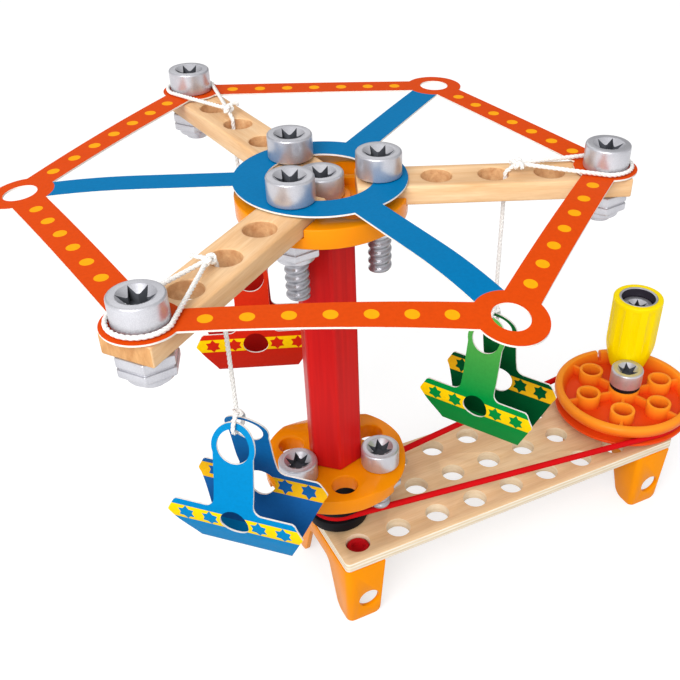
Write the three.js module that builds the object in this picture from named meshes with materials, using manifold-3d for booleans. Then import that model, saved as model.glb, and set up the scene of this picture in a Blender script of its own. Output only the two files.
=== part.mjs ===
// Hand cranked carousel toy, built from a wood and plastic construction kit.
// Millimetres, +Z up. The board lies along X, from the carousel to the crank.
// Pieces are placed from the carousel's axis and the floor, and the whole is centred at the end.

import * as THREE from 'three';
import { mergeVertices } from 'three/addons/utils/BufferGeometryUtils.js';
import Module from 'manifold-3d';

const wasm = await Module();
wasm.setup();

// The kit's grid, and the gaps between its pieces
const pitch = 25;
const seat = 0.3;
const runningGap = 0.5;
const overrun = 2;

// Bolts and nuts
const threadDiameter = 11;
const threadDepth = 0.9;
const threadStep = 5;
const boltPlay = 2.5;
const headDiameter = 20;
const headHeight = 10.5;
const headChamfer = 1;
const socketDiameter = 13.2;
const socketWaist = 7.6;
const socketDepth = 6;
const starPoints = 6;
const nutPlay = 1.6;
const nutHeight = 11;
const nutGrooveDepth = 0.8;
const nutGrooveHeight = 1.2;
const nutGrooveDrop = 3.7;
const nutFlangeDiameter = 17;
const nutFlangeHeight = 2.5;
const lowerBoltTail = 13.4;
const hubBoltTail = 19.3;
const tipBoltTail = 2.6;

// Base board
const boardColumns = 9;
const boardRows = 3;
const boardMargin = 12.5;
const boardThickness = 6.5;

// Leg brackets and their pegs
const legHeight = 40;
const legMargin = 3.75;
const legOverhang = 0.5;
const legWall = 2.7;
const legWebDrop = 10.5;
const archTopWidth = 25;
const archFootWidth = 47;
const legTaper = 4;
const legHoleDiameter = 12;
const legHoleDrop = 26;
const pegPlay = 1.1;
const pegRecess = 2.4;
const pegHeadDiameter = 17;
const pegHeadHeight = 2.5;

// Belt drive
const beltDiameter = 3;
const beltHeight = 10.8;
const smallPulleyRadius = 14;
const crankPulleyRadius = 39.5;
const smallPulleyLip = 2.5;
const smallPulleyRise = 6.7;
const grooveFlare = 1;
const spacerDiameter = 19;
const spacerHeight = 20.8;
const washerDiameter = 22;
const washerThickness = 1.5;

// Hubs
const hubRim = 12.5;
const hubThickness = 9;
const channelDepth = 4;
const hubBossGap = 2.5;
const hubBossStep = 1.6;
const hubBevelRun = 8.5;
const hubLip = 0.8;

// Column
const columnGap = 2.25;
const columnLength = 141.8;
const columnBoreDepth = 34;

// Arms
const armCount = 3;
const armHoles = 5;
const armWidth = 21.5;
const armThickness = 8.5;
const armEndGap = 2.5;
const armMargin = 10;
const armEdge = 1;

// Card frame
const cardThickness = 1;
const stripWidth = 14;
const spokeWidth = 13.5;
const lobeDiameter = 28;
const ringHoleDiameter = 14.3;

// Cords
const cordDiameter = 2;
const cordHole = 3;
const dropLength = 58.5;
const armKnotOffset = 10;
const armKnotRise = 4.2;
const armKnotDiameter = 6;
const gondolaKnotDiameter = 5;
const gondolaKnotRise = 3.2;

// Gondolas
const gondolaCard = 1.2;
const gondolaRingDiameter = 20;
const gondolaRingHole = 15;
const bandBelowRing = 37.4;
const floorBelowBand = 21.8;
const crownSpread = 1;
const ringSpread = 6.7;
const bandSpread = 14.5;
const floorSpread = 6.8;
const hullHalfLength = 32.2;
const floorHalfLength = 22;
const gunwaleHalfLength = 28;
const gunwaleRise = 7.2;
const neckInset = 0.7;
const neckFillet = 4;
const bandHoleDiameter = 13.6;

// Crank wheel
const lowerFlange = 1.9;
const upperFlange = 6.7;
const wheelLip = 4;
const wheelEdge = 1;
const wheelRimWall = 4.5;
const wheelRecess = 8;
const grooveWall = 1.5;
const bossRise = 1;
const bossWall = 2;
const centreBossDiameter = 19;
const webThickness = 2;
const webDrop = 2;
const notchWidth = 2.5;
const notchRise = 2;
const rubberThickness = 2.4;
const rubberDiameter = 19;

// Grip of the crank wheel
const gripDiameter = 31;
const gripLength = 50.4;
const gripTaper = 16;
const gripEdge = 1;
const gripNeckDiameter = 22;
const gripRecessDiameter = 24;
const gripRecessDepth = 16.5;
const gripLobes = 10;
const gripFluteDiameter = 5;
const gripFluteCut = 1.1;
const gripBoltInset = 3.1;

// Angles of the parts as they stand, in degrees about +Z
const carouselAngle = -22.3;
const lowerHubTurn = -21.4;
const wheelAngle = 49.1;
const notchAngle = 76;
const greenGondolaAngle = -59.7;
const redGondolaAngle = -21.4;
const blueGondolaAngle = -45.8;

// Numbers of flats and steps in round shapes
const boltSides = 12;
const holeSides = 8;
const roundSides = 24;
const wheelSides = 32;
const gripSides = 20;
const arcSides = 4;
const cordSides = 6;
const tieSteps = 22;
const armLoopSteps = 22;
const armLoopPoints = 9;
const armLoopArc = 240;
const armTailSteps = 9;
const flankSteps = 7;

// Widths and reaches worked out from the sizes
const holeDiameter = threadDiameter + boltPlay;
const nutAcrossFlats = armWidth - nutPlay;
const nutAcrossCorners = nutAcrossFlats / Math.cos(Math.PI / 6);
const boardLength = (boardColumns - 1) * pitch + 2 * boardMargin;
const boardWidth = (boardRows - 1) * pitch + 2 * boardMargin;
const crankX = (boardColumns - 1) * pitch;
const hubRadius = pitch + hubRim;
const hubBossDiameter = 2 * (pitch - hubBossGap) - nutAcrossFlats;
const columnAcrossFlats = 2 * (pitch - columnGap) - headDiameter;
const armInnerEnd = hubBossDiameter / 2 + armEndGap;
const tipReach = pitch * armHoles;
const armOuterEnd = tipReach + armMargin;
const grooveMouth = beltDiameter + 2 * grooveFlare;
const beltBed = beltDiameter / 2 + runningGap;
const dropReach = pitch * cordHole + holeDiameter / 2 - seat - cordDiameter / 2;
const armKnotReach = pitch * cordHole + armKnotOffset;

// Heights worked out from the sizes
const boardTop = legHeight + seat + boardThickness;
const legUnder = legHeight - legWall - seat;
const beltZ = boardTop + beltHeight;
const pulleyBottom = boardTop + washerThickness + 2 * seat;
const pulleyTop = beltZ + smallPulleyRise;
const spacerBottom = pulleyTop + seat;
const channelFloor = hubThickness - channelDepth;
const bossFace = channelFloor + hubBossStep;
const lowerHubTop = spacerBottom + spacerHeight + seat + bossFace;
const lowerNutTop = lowerHubTop - channelFloor - seat;
const columnBottom = lowerHubTop + seat;
const columnTop = columnBottom + columnLength;
const topHubBottom = columnTop + seat;
const armBottom = topHubBottom + channelFloor + seat;
const armTop = armBottom + armThickness;
const cardBottom = armTop + seat;
const cardTop = cardBottom + cardThickness;
const headSeat = cardTop + seat;
const dropTop = armBottom - seat;
const dropBottom = dropTop - dropLength;
const knotDrop = seat + gondolaKnotDiameter / 2;
const crownDrop = knotDrop + gondolaKnotRise;
const ringDrop = crownDrop + gondolaRingDiameter / 2;
const bandDrop = ringDrop + bandBelowRing;
const floorDrop = bandDrop + floorBelowBand;
const wheelBottom = beltZ - grooveMouth / 2 - lowerFlange;
const wheelTop = beltZ + grooveMouth / 2 + upperFlange;
const wheelFloor = wheelTop - wheelRecess;
const bossTop = wheelTop + bossRise;
const gripBottom = bossTop + seat;
const gripTop = gripBottom + gripLength;
const gripSeat = gripTop - gripRecessDepth + seat;

const radians = (degrees) => THREE.MathUtils.degToRad(degrees);
const places = (count) => Array.from({ length: count }, (_, i) => i);
const point = (x, y, z) => new THREE.Vector3(x, y, z);
const shift = (x, y, z) => new THREE.Matrix4().makeTranslation(x, y, z);
const outline = (points) => new THREE.Shape(points.map(([x, y]) => new THREE.Vector2(x, y)));
const rotated = (body, degrees) => body.rotate([0, 0, degrees]);
const joined = (bodies) => wasm.Manifold.union(bodies);

// Colours, roughness and metalness of the materials
function finish(color, roughness, metalness = 0) {
  return new THREE.MeshStandardMaterial({ color, roughness, metalness });
}
const plywood = finish(0xd9b183, 0.65);
const beech = finish(0xdcb27c, 0.6);
const redPaint = finish(0xd41f1d, 0.4);
const redCard = finish(0xe8380f, 0.5);
const orangePlastic = finish(0xf27f0a, 0.35);
const wheelPlastic = finish(0xf5851f, 0.35);
const silverPlastic = finish(0xb4b6bc, 0.35, 0.4);
const blackRubber = finish(0x18171a, 0.7);
const redRubber = finish(0xc8101c, 0.5);
const yellowPlastic = finish(0xfbdc00, 0.35);
const whiteCord = finish(0xf0eeea, 0.9);
const redPlastic = finish(0xb5141c, 0.4);
const gondolaFinishes = {
  green: finish(0x0c8a3c, 0.5),
  red: finish(0xe0300f, 0.5),
  blue: finish(0x0a86c6, 0.5),
};

// Turns a closed geometry into a solid
function solid(geometry, matrix) {
  const plain = geometry.clone();
  plain.deleteAttribute('normal');
  plain.deleteAttribute('uv');
  if (matrix) plain.applyMatrix4(matrix);
  const merged = mergeVertices(plain, 1e-3);
  const mesh = new wasm.Mesh({
    numProp: 3,
    vertProperties: new Float32Array(merged.attributes.position.array),
    triVerts: new Uint32Array(merged.index.array),
  });
  return new wasm.Manifold(mesh);
}

// Turns a solid back into a geometry
function geometryOf(body) {
  const mesh = body.getMesh();
  const geometry = new THREE.BufferGeometry();
  geometry.setAttribute('position', new THREE.BufferAttribute(mesh.vertProperties, mesh.numProp));
  geometry.setIndex(new THREE.BufferAttribute(mesh.triVerts, 1));
  geometry.computeVertexNormals();
  return geometry;
}

// Adds a named piece to a group
function add(group, name, body, material, x, y, z) {
  const mesh = new THREE.Mesh(geometryOf(body), material);
  mesh.name = name;
  mesh.position.set(x, y, z);
  group.add(mesh);
  return mesh;
}

// Adds an empty group that is turned and moved on its parent
function addGroup(parent, degrees, x = 0, z = 0) {
  const group = new THREE.Group();
  group.rotation.z = radians(degrees);
  group.position.set(x, 0, z);
  parent.add(group);
  return group;
}

// Cylinder standing on z, centred on x and y
function post(diameter, height, sides = boltSides, x = 0, y = 0, z = 0) {
  const geometry = new THREE.CylinderGeometry(diameter / 2, diameter / 2, height, sides);
  geometry.rotateX(Math.PI / 2);
  return solid(geometry, shift(x, y, z + height / 2));
}

// Cutter for a round hole, whose flats lie on the hole's diameter
function bore(diameter, height, x, y, z) {
  return post(diameter / Math.cos(Math.PI / holeSides), height, holeSides, x, y, z);
}

// Box given by its lowest corner and its sizes
function block(x, y, z, width, depth, height) {
  const geometry = new THREE.BoxGeometry(width, depth, height);
  return solid(geometry, shift(x + width / 2, y + depth / 2, z + height / 2));
}

// Solid of revolution about Z, from a profile of [radius, height] points
function turned(profile, sides) {
  const points = profile.map(([radius, height]) => new THREE.Vector2(radius, height));
  const geometry = new THREE.LatheGeometry(points, sides);
  geometry.rotateX(Math.PI / 2);
  return solid(geometry);
}

// Outline pushed along Z, and then laid as the matrix says
function extruded(shape, depth, matrix = new THREE.Matrix4(), curveSegments = arcSides) {
  return solid(new THREE.ExtrudeGeometry(shape, { depth, bevelEnabled: false, curveSegments }), matrix);
}

// Lays an outline drawn in y and z, and pushes it along +X from x
const facingX = (x) => new THREE.Matrix4().set(0, 0, 1, x, 1, 0, 0, 0, 0, 1, 0, 0, 0, 0, 0, 1);

// Lays an outline drawn in x and z, and pushes it along -Y from y
const facingY = (y) => new THREE.Matrix4().set(1, 0, 0, 0, 0, 0, -1, y, 0, 1, 0, 0, 0, 0, 0, 1);

// Plain ring standing on z = 0
function ring(outer, inner, height) {
  const hole = bore(inner, height + 2 * overrun, 0, 0, -overrun);
  return post(outer, height).subtract(hole);
}

// Endless cord along a closed curve
function cordLoop(curve, steps) {
  return solid(new THREE.TubeGeometry(curve, steps, cordDiameter / 2, cordSides, true));
}

// Cord along an open curve, with flat ends
function cordTube(curve, steps) {
  const section = new THREE.Shape();
  section.absarc(0, 0, cordDiameter / 2, 0, 2 * Math.PI);
  const options = { steps, curveSegments: cordSides / 2, extrudePath: curve };
  return solid(new THREE.ExtrudeGeometry(section, options));
}

// Knot in a cord, as a small lump
function knot(diameter, x, y, z) {
  return solid(new THREE.IcosahedronGeometry(diameter / 2, 1), shift(x, y, z));
}

// Star shaped outline, with its points on one circle and its waists on another
function starOutline(count, outer, inner) {
  const points = places(count * 2).map((i) => {
    const reach = i % 2 ? inner : outer;
    const angle = (i * Math.PI) / count;
    return [reach * Math.cos(angle), reach * Math.sin(angle)];
  });
  return outline(points);
}

// Half profile of a screw thread drawn as round ridges, from its top height down to its bottom
function threadProfile(top, bottom) {
  const outer = threadDiameter / 2;
  const ridges = Math.max(1, Math.floor((top - bottom) / threadStep));
  const step = (top - bottom) / ridges;
  const profile = [[outer - threadDepth, bottom]];
  for (const i of places(ridges)) {
    const low = bottom + i * step;
    profile.push([outer, low + step / 4], [outer, low + (step * 3) / 4]);
    if (i < ridges - 1) profile.push([outer - threadDepth, low + step]);
  }
  return profile;
}

// Bolt with a round head and a star socket; the head stands on z = 0 and the shank hangs below it
function bolt(length, threadTop) {
  const shank = threadDiameter / 2;
  const head = headDiameter / 2;
  const threaded = threadTop === undefined ? [[shank, -length]] : threadProfile(threadTop, -length);
  const profile = [
    [0, -length],
    ...threaded,
    [shank, 0],
    [head, 0],
    [head, headHeight - headChamfer],
    [head - headChamfer, headHeight],
    [0, headHeight],
  ];
  const star = starOutline(starPoints, socketDiameter / 2, socketWaist / 2);
  const socket = extruded(star, socketDepth + overrun, shift(0, 0, headHeight - socketDepth));
  return turned(profile, boltSides).subtract(socket);
}

// Hexagonal nut with a groove round it and a round flange beneath; its top is at z = 0
function nut() {
  const hexagon = (diameter, height, z) => post(diameter, height, 6, 0, 0, z);
  const bodyHeight = nutHeight - nutFlangeHeight;
  const grooveBottom = -nutGrooveDrop - nutGrooveHeight;
  const body = hexagon(nutAcrossCorners, bodyHeight, -bodyHeight);
  const band = hexagon(nutAcrossCorners + overrun, nutGrooveHeight, grooveBottom);
  const core = hexagon(nutAcrossCorners - 2 * nutGrooveDepth, nutGrooveHeight, grooveBottom);
  const flange = post(nutFlangeDiameter, nutFlangeHeight + seat, boltSides, 0, 0, -nutHeight);
  const thread = bore(threadDiameter + 2 * seat, nutHeight + 2 * overrun, 0, 0, -nutHeight - overrun);
  return body.subtract(band.subtract(core)).add(flange).subtract(thread);
}

// Base board of plywood with its grid of holes
function baseBoard() {
  const board = block(-boardMargin, -boardWidth / 2, 0, boardLength, boardWidth, boardThickness);
  const holes = [];
  for (const column of places(boardColumns)) {
    for (const row of places(boardRows)) {
      const y = (row - (boardRows - 1) / 2) * pitch;
      holes.push(bore(holeDiameter, boardThickness + 2 * overrun, column * pitch, y, -overrun));
    }
  }
  return board.subtract(joined(holes));
}

// Leg bracket: a top plate, two outer cheeks and an arched web at the edge away from the crank
function legBracket() {
  const width = boardWidth + 2 * legOverhang;
  const left = -(Math.max(headDiameter, nutAcrossFlats) / 2 + seat + legWall);
  const right = holeDiameter / 2 + legMargin;
  const archTop = legHeight - legWebDrop;
  const plate = block(left, -width / 2, legHeight - legWall, right - left, width, legWall);
  const web = extruded(outline([
    [-width / 2, 0],
    [-archFootWidth / 2, 0],
    [-archTopWidth / 2, archTop],
    [archTopWidth / 2, archTop],
    [archFootWidth / 2, 0],
    [width / 2, 0],
    [width / 2, legHeight],
    [-width / 2, legHeight],
  ]), legWall, facingX(left));
  const cheek = outline([[left, 0], [right - legTaper, 0], [right, legHeight], [left, legHeight]]);
  const hole = new THREE.Path();
  hole.absarc(0, legHeight - legHoleDrop, legHoleDiameter / 2, 0, 2 * Math.PI);
  cheek.holes.push(hole);
  const front = extruded(cheek, legWall, facingY(-width / 2 + legWall));
  const back = extruded(cheek, legWall, facingY(width / 2));
  const bracket = joined([plate, web, front, back]);
  const holes = [-pitch, 0, pitch].map((y) => {
    return bore(holeDiameter, legWall + 2 * overrun, 0, y, legHeight - legWall - overrun);
  });
  return bracket.subtract(joined(holes));
}

// Peg that pins a bracket to the board from below
function legPeg() {
  const stem = post(holeDiameter - pegPlay, boardTop - pegRecess - legUnder, boltSides, 0, 0, legUnder);
  return stem.add(post(pegHeadDiameter, pegHeadHeight, boltSides, 0, 0, legUnder - pegHeadHeight));
}

// Hub: a disc with channels for the arms in its upper face and bevels on its lower face
function hub() {
  const channelWidth = armWidth + 2 * seat;
  const channelLength = hubRadius + overrun;
  const bevelDrop = channelFloor - hubLip;
  const wedge = outline([
    [hubRadius - hubBevelRun, 0],
    [hubRadius + overrun, -overrun],
    [hubRadius + overrun, bevelDrop * (1 + overrun / hubBevelRun)],
  ]);
  const cuts = [];
  for (const i of places(armCount)) {
    const turn = (i * 360) / armCount;
    const channel = block(0, -channelWidth / 2, channelFloor, channelLength, channelWidth, hubThickness);
    const bevel = extruded(wedge, 2 * hubRadius, facingY(hubRadius));
    cuts.push(rotated(channel, turn), rotated(bevel, turn));
  }
  cuts.push(post(hubBossDiameter, hubThickness, roundSides, 0, 0, channelFloor));
  const disc = post(2 * hubRadius, hubThickness, roundSides).subtract(joined(cuts));
  const boss = post(hubBossDiameter, bossFace, roundSides);
  const holes = [bore(holeDiameter, hubThickness + 2 * overrun, 0, 0, -overrun)];
  for (const i of places(armCount * 2)) {
    const angle = (i * Math.PI) / armCount;
    const [x, y] = [pitch * Math.cos(angle), pitch * Math.sin(angle)];
    holes.push(bore(holeDiameter, hubThickness + 2 * overrun, x, y, -overrun));
  }
  return disc.add(boss).subtract(joined(holes));
}

// Hexagonal column with a screw hole in each end
function column() {
  const acrossCorners = columnAcrossFlats / Math.cos(Math.PI / 6);
  const screwHole = (z) => bore(threadDiameter + 2 * seat, columnBoreDepth + overrun, 0, 0, z);
  const bar = post(acrossCorners, columnLength, 6);
  return bar.subtract(screwHole(-overrun)).subtract(screwHole(columnLength - columnBoreDepth));
}

// Wooden arm along +X, with its holes and softened long edges
function arm() {
  const half = armWidth / 2;
  const section = outline([
    [-half, armEdge],
    [-half + armEdge, 0],
    [half - armEdge, 0],
    [half, armEdge],
    [half, armThickness - armEdge],
    [half - armEdge, armThickness],
    [-half + armEdge, armThickness],
    [-half, armThickness - armEdge],
  ]);
  const bar = extruded(section, armOuterEnd - armInnerEnd, facingX(armInnerEnd));
  const holes = places(armHoles).map((i) => {
    return bore(holeDiameter, armThickness + 2 * overrun, (i + 1) * pitch, 0, -overrun);
  });
  return bar.subtract(joined(holes));
}

// Card frame: six strips in a hexagon, a centre ring, three spokes and six lobes, cut from one card
function cardFrame() {
  const solids = [post(2 * hubRadius, cardThickness, roundSides)];
  const cuts = [];
  const cut = (diameter, x) => bore(diameter, cardThickness + 2 * overrun, x, 0, -overrun);
  const corners = armCount * 2;
  const apothem = tipReach * Math.cos(Math.PI / corners);
  const strip = block(apothem - stripWidth / 2, -tipReach / 2, 0, stripWidth, tipReach, cardThickness);
  const lobe = post(lobeDiameter, cardThickness, roundSides, tipReach);
  const spoke = block(0, -spokeWidth / 2, 0, tipReach, spokeWidth, cardThickness);
  for (const i of places(corners)) {
    const turn = (i * 360) / corners;
    const onArm = i % 2 === 0;
    solids.push(rotated(strip, turn + 180 / corners), rotated(lobe, turn));
    cuts.push(rotated(cut(onArm ? holeDiameter : ringHoleDiameter, tipReach), turn));
    if (onArm) cuts.push(rotated(cut(holeDiameter, pitch), turn));
    else solids.push(rotated(spoke, turn));
  }
  const openingDiameter = 2 * (hubRadius - stripWidth);
  const opening = post(openingDiameter, cardThickness + 2 * overrun, roundSides, 0, 0, -overrun);
  return joined(solids).subtract(joined([opening, ...cuts]));
}

// Small grooved pulley between the board and the lower hub, standing on z = 0
function smallPulley() {
  const outer = smallPulleyRadius + smallPulleyLip;
  const inner = holeDiameter / 2;
  const centre = beltZ - pulleyBottom;
  const height = pulleyTop - pulleyBottom;
  const bed = smallPulleyRadius - beltBed;
  return turned([
    [inner, 0],
    [outer, 0],
    [outer, centre - grooveMouth / 2],
    [bed, centre - beltBed],
    [bed, centre + beltBed],
    [outer, centre + grooveMouth / 2],
    [outer, height],
    [inner, height],
    [inner, 0],
  ], roundSides);
}

// Round belt over the small pulley and the crank wheel, in the plane z = 0
function driveBelt() {
  const lean = Math.asin((crankPulleyRadius - smallPulleyRadius) / crankX);
  const contact = Math.PI / 2 + lean;
  const arc = (x, radius, from, to, steps) => places(steps + 1).map((i) => {
    const angle = from + ((to - from) * i) / steps;
    return point(x + radius * Math.cos(angle), radius * Math.sin(angle), 0);
  });
  const route = [
    ...arc(crankX, crankPulleyRadius, -contact, contact, wheelSides / 2),
    ...arc(0, smallPulleyRadius, contact, 2 * Math.PI - contact, roundSides / 2),
  ];
  const rings = route.map((centre, i) => {
    const before = route[(i + route.length - 1) % route.length];
    const after = route[(i + 1) % route.length];
    const side = after.clone().sub(before).normalize().cross(point(0, 0, 1));
    return places(cordSides).map((k) => {
      const angle = (k * 2 * Math.PI) / cordSides;
      const out = side.clone().multiplyScalar((Math.cos(angle) * beltDiameter) / 2);
      return centre.clone().add(out).add(point(0, 0, (Math.sin(angle) * beltDiameter) / 2));
    });
  });
  return closedRings(rings);
}

// Solid whose skin runs over rings of points, the last of which joins the first
function closedRings(rings) {
  const positions = rings.flat().flatMap((place) => place.toArray());
  const faces = [];
  rings.forEach((_, i) => {
    const next = (i + 1) % rings.length;
    places(cordSides).forEach((k) => {
      const side = (k + 1) % cordSides;
      const [a, b] = [i * cordSides + k, i * cordSides + side];
      const [c, d] = [next * cordSides + k, next * cordSides + side];
      faces.push(a, c, b, b, c, d);
    });
  });
  const geometry = new THREE.BufferGeometry();
  geometry.setAttribute('position', new THREE.Float32BufferAttribute(positions, 3));
  geometry.setIndex(faces);
  return solid(geometry);
}

// Crank wheel: a rim with a belt groove and a leaning inner wall, a floor, bosses and webs between them
function crankWheel() {
  const radius = crankPulleyRadius + wheelLip;
  const inner = radius - wheelRimWall;
  const bed = crankPulleyRadius - beltBed;
  const bossDiameter = threadDiameter + 2 * bossWall;
  const body = turned([
    [0, wheelBottom],
    [radius - wheelEdge, wheelBottom],
    [radius - wheelEdge, beltZ],
    [radius, beltZ],
    [radius, wheelTop - wheelEdge],
    [radius - wheelEdge, wheelTop],
    [inner, wheelTop],
    [bed - grooveWall, wheelFloor],
    [0, wheelFloor],
  ], wheelSides);
  const flare = (grooveMouth / 2 - beltBed) * (1 + overrun / (radius - bed));
  const groove = turned([
    [bed, beltZ - beltBed],
    [radius + overrun, beltZ - beltBed - flare],
    [radius + overrun, beltZ + beltBed + flare],
    [bed, beltZ + beltBed],
    [bed, beltZ - beltBed],
  ], wheelSides);
  const bossHeight = bossTop - wheelFloor;
  const webHeight = wheelTop - webDrop - wheelFloor;
  const boreBottom = wheelBottom - overrun;
  const boreHeight = bossTop + 2 * overrun - wheelBottom;
  const boss = post(bossDiameter, bossHeight, boltSides, pitch, 0, wheelFloor);
  const web = block(0, -webThickness / 2, wheelFloor, inner + wheelEdge, webThickness, webHeight);
  const bossBore = bore(threadDiameter + 2 * seat, boreHeight, pitch, 0, boreBottom);
  const solids = [body, post(centreBossDiameter, bossHeight, roundSides, 0, 0, wheelFloor)];
  const cuts = [groove, bore(threadDiameter + 2 * runningGap, boreHeight, 0, 0, boreBottom)];
  for (const i of places(armCount * 2)) {
    const turn = (i * 180) / armCount;
    solids.push(rotated(boss, turn), rotated(web, turn));
    cuts.push(rotated(bossBore, turn));
  }
  const notchBottom = wheelFloor + notchRise;
  const notchDepth = wheelRimWall + 2 * overrun;
  const notch = block(inner - overrun, -notchWidth / 2, notchBottom, notchDepth, notchWidth, wheelRecess);
  cuts.push(rotated(notch, notchAngle - wheelAngle));
  return joined(solids).subtract(joined(cuts));
}

// Fluted grip with a tapered lower end and a round recess for the bolt's head
function grip() {
  const radius = gripDiameter / 2;
  const inner = threadDiameter / 2 + runningGap;
  const recess = gripRecessDiameter / 2;
  const body = turned([
    [inner, gripBottom],
    [gripNeckDiameter / 2, gripBottom],
    [radius, gripBottom + gripTaper],
    [radius, gripTop - gripEdge],
    [radius - gripEdge, gripTop],
    [recess, gripTop],
    [recess, gripTop - gripRecessDepth],
    [inner, gripTop - gripRecessDepth],
    [inner, gripBottom],
  ], gripSides);
  const reach = radius + gripFluteDiameter / 2 - gripFluteCut;
  const flute = post(gripFluteDiameter, gripLength + 2 * overrun, holeSides, reach, 0, gripBottom - overrun);
  return body.subtract(joined(places(gripLobes).map((i) => rotated(flute, (i * 360) / gripLobes))));
}

// Gondola: one card folded under the floor, its two sides bulging at the band and closing at the crown
function gondola() {
  const half = gondolaCard / 2;
  const floor = -floorDrop;
  const flank = new THREE.CatmullRomCurve3([
    point(floorSpread, floor + gondolaCard, 0),
    point(bandSpread, -bandDrop, 0),
    point((bandSpread + ringSpread) / 2, -(bandDrop + ringDrop) / 2, 0),
    point(ringSpread, -ringDrop, 0),
    point(crownSpread, overrun - crownDrop, 0),
  ]);
  const middle = flank.getPoints(flankSteps);
  const skin = (side) => middle.map((place, i) => {
    const before = middle[Math.max(i - 1, 0)];
    const after = middle[Math.min(i + 1, flankSteps)];
    const along = after.clone().sub(before).normalize();
    return [place.x + along.y * side * half, place.y - along.x * side * half];
  });
  const outer = [[floorSpread, floor], ...skin(1)];
  const inner = [[floorSpread - half, floor + gondolaCard], ...skin(-1).slice(1)];
  const right = [...outer, ...inner.reverse()];
  const left = right.map(([x, z]) => [-x, z]).reverse();
  const folded = extruded(outline([...right, ...left]), 2 * hullHalfLength, facingX(-hullHalfLength));
  const reach = bandSpread + overrun;
  return folded.intersect(extruded(gondolaFace(), 2 * reach, facingY(reach)));
}

// Outline of a gondola's side, with its hanging hole and its band hole
function gondolaFace() {
  const neck = gondolaRingDiameter / 2 - neckInset;
  const crown = gondolaRingDiameter / 2;
  const gunwale = -bandDrop + gunwaleRise;
  const lean = Math.acos(neck / crown);
  const below = -floorDrop - overrun;
  const face = new THREE.Shape();
  face.moveTo(-floorHalfLength, below);
  face.lineTo(floorHalfLength, below);
  face.lineTo(floorHalfLength, -floorDrop);
  face.lineTo(hullHalfLength, -bandDrop);
  face.lineTo(gunwaleHalfLength, gunwale);
  face.lineTo(neck + neckFillet, gunwale);
  face.absarc(neck + neckFillet, gunwale + neckFillet, neckFillet, -Math.PI / 2, -Math.PI, true);
  face.absarc(0, -ringDrop, crown, -lean, Math.PI + lean, false);
  face.absarc(-neck - neckFillet, gunwale + neckFillet, neckFillet, 0, -Math.PI / 2, true);
  face.lineTo(-gunwaleHalfLength, gunwale);
  face.lineTo(-hullHalfLength, -bandDrop);
  face.lineTo(-floorHalfLength, -floorDrop);
  face.closePath();
  const hangingHole = new THREE.Path();
  hangingHole.absarc(0, -ringDrop, gondolaRingHole / 2, 0, 2 * Math.PI);
  const bandHole = new THREE.Path();
  bandHole.absarc(0, -bandDrop, bandHoleDiameter / 2, 0, 2 * Math.PI);
  face.holes.push(hangingHole, bandHole);
  return face;
}

// Cord tied round the tip bolt's head, knotted on the arm and led over the edge of the arm's third hole
function armCord() {
  const loopReach = headDiameter / 2 + cordDiameter / 2 + seat;
  const loopZ = cardTop + cordDiameter / 2 + seat;
  const knotZ = armTop + armKnotRise;
  const wrap = places(armLoopPoints).map((i) => {
    const angle = radians((i / (armLoopPoints - 1) - 1 / 2) * armLoopArc);
    return point(tipReach + loopReach * Math.cos(angle), loopReach * Math.sin(angle), loopZ);
  });
  const loop = new THREE.CatmullRomCurve3([point(armKnotReach, 0, knotZ), ...wrap], true);
  const tail = new THREE.CatmullRomCurve3([
    point(armKnotReach, 0, knotZ),
    point(dropReach + cordDiameter, 0, armTop + cordDiameter),
    point(dropReach, 0, armTop + seat),
    point(dropReach, 0, armTop - cordDiameter),
    point(dropReach, 0, armBottom),
  ]);
  const lump = knot(armKnotDiameter, armKnotReach, 0, knotZ);
  return joined([cordLoop(loop, armLoopSteps), cordTube(tail, armTailSteps), lump]);
}

// Loop of cord through the gondola's two hanging holes, with its knot above the crown
function gondolaTie() {
  const out = (crownSpread + ringSpread) / 2 + seat + cordDiameter / 2;
  const holeTop = -ringDrop + gondolaRingHole / 2;
  const side = [
    point(0, crownSpread + gondolaCard, seat + cordDiameter - crownDrop),
    point(0, out, -crownDrop),
    point(0, out, holeTop - cordDiameter / 2),
    point(0, crownSpread, holeTop - (cordDiameter * 3) / 2),
  ];
  const otherSide = side.map((place) => point(0, -place.y, place.z)).reverse();
  const curve = new THREE.CatmullRomCurve3([point(0, 0, -knotDrop), ...side, ...otherSide], true);
  return cordLoop(curve, tieSteps).add(knot(gondolaKnotDiameter, 0, 0, -knotDrop));
}

const toy = new THREE.Group();

// Base: the board on its two brackets, their pegs and the belt
add(toy, 'base_board', baseBoard(), plywood, 0, 0, legHeight + seat);
for (const [side, x] of Object.entries({ left: 0, right: crankX })) {
  add(toy, `leg_bracket_${side}`, legBracket(), orangePlastic, x, 0, 0);
  for (const [row, y] of Object.entries({ front: -pitch, back: pitch })) {
    add(toy, `leg_peg_${side}_${row}`, legPeg(), redPlastic, x, y, 0);
  }
}
add(toy, 'drive_belt', driveBelt(), redRubber, 0, 0, beltZ);

// Carousel: everything that turns on the axle bolt
const carousel = addGroup(toy, carouselAngle);
const axleBolt = bolt(lowerHubTop + columnBoreDepth - overrun - legUnder).rotate([180, 0, 0]);
add(carousel, 'axle_bolt', axleBolt, silverPlastic, 0, 0, legUnder);
const axleWasher = ring(washerDiameter, holeDiameter, washerThickness);
add(carousel, 'axle_washer', axleWasher, blackRubber, 0, 0, boardTop + seat);
add(carousel, 'small_pulley', smallPulley(), blackRubber, 0, 0, pulleyBottom);
const pulleySpacer = ring(spacerDiameter, holeDiameter, spacerHeight);
add(carousel, 'pulley_spacer', pulleySpacer, blackRubber, 0, 0, spacerBottom);

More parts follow.
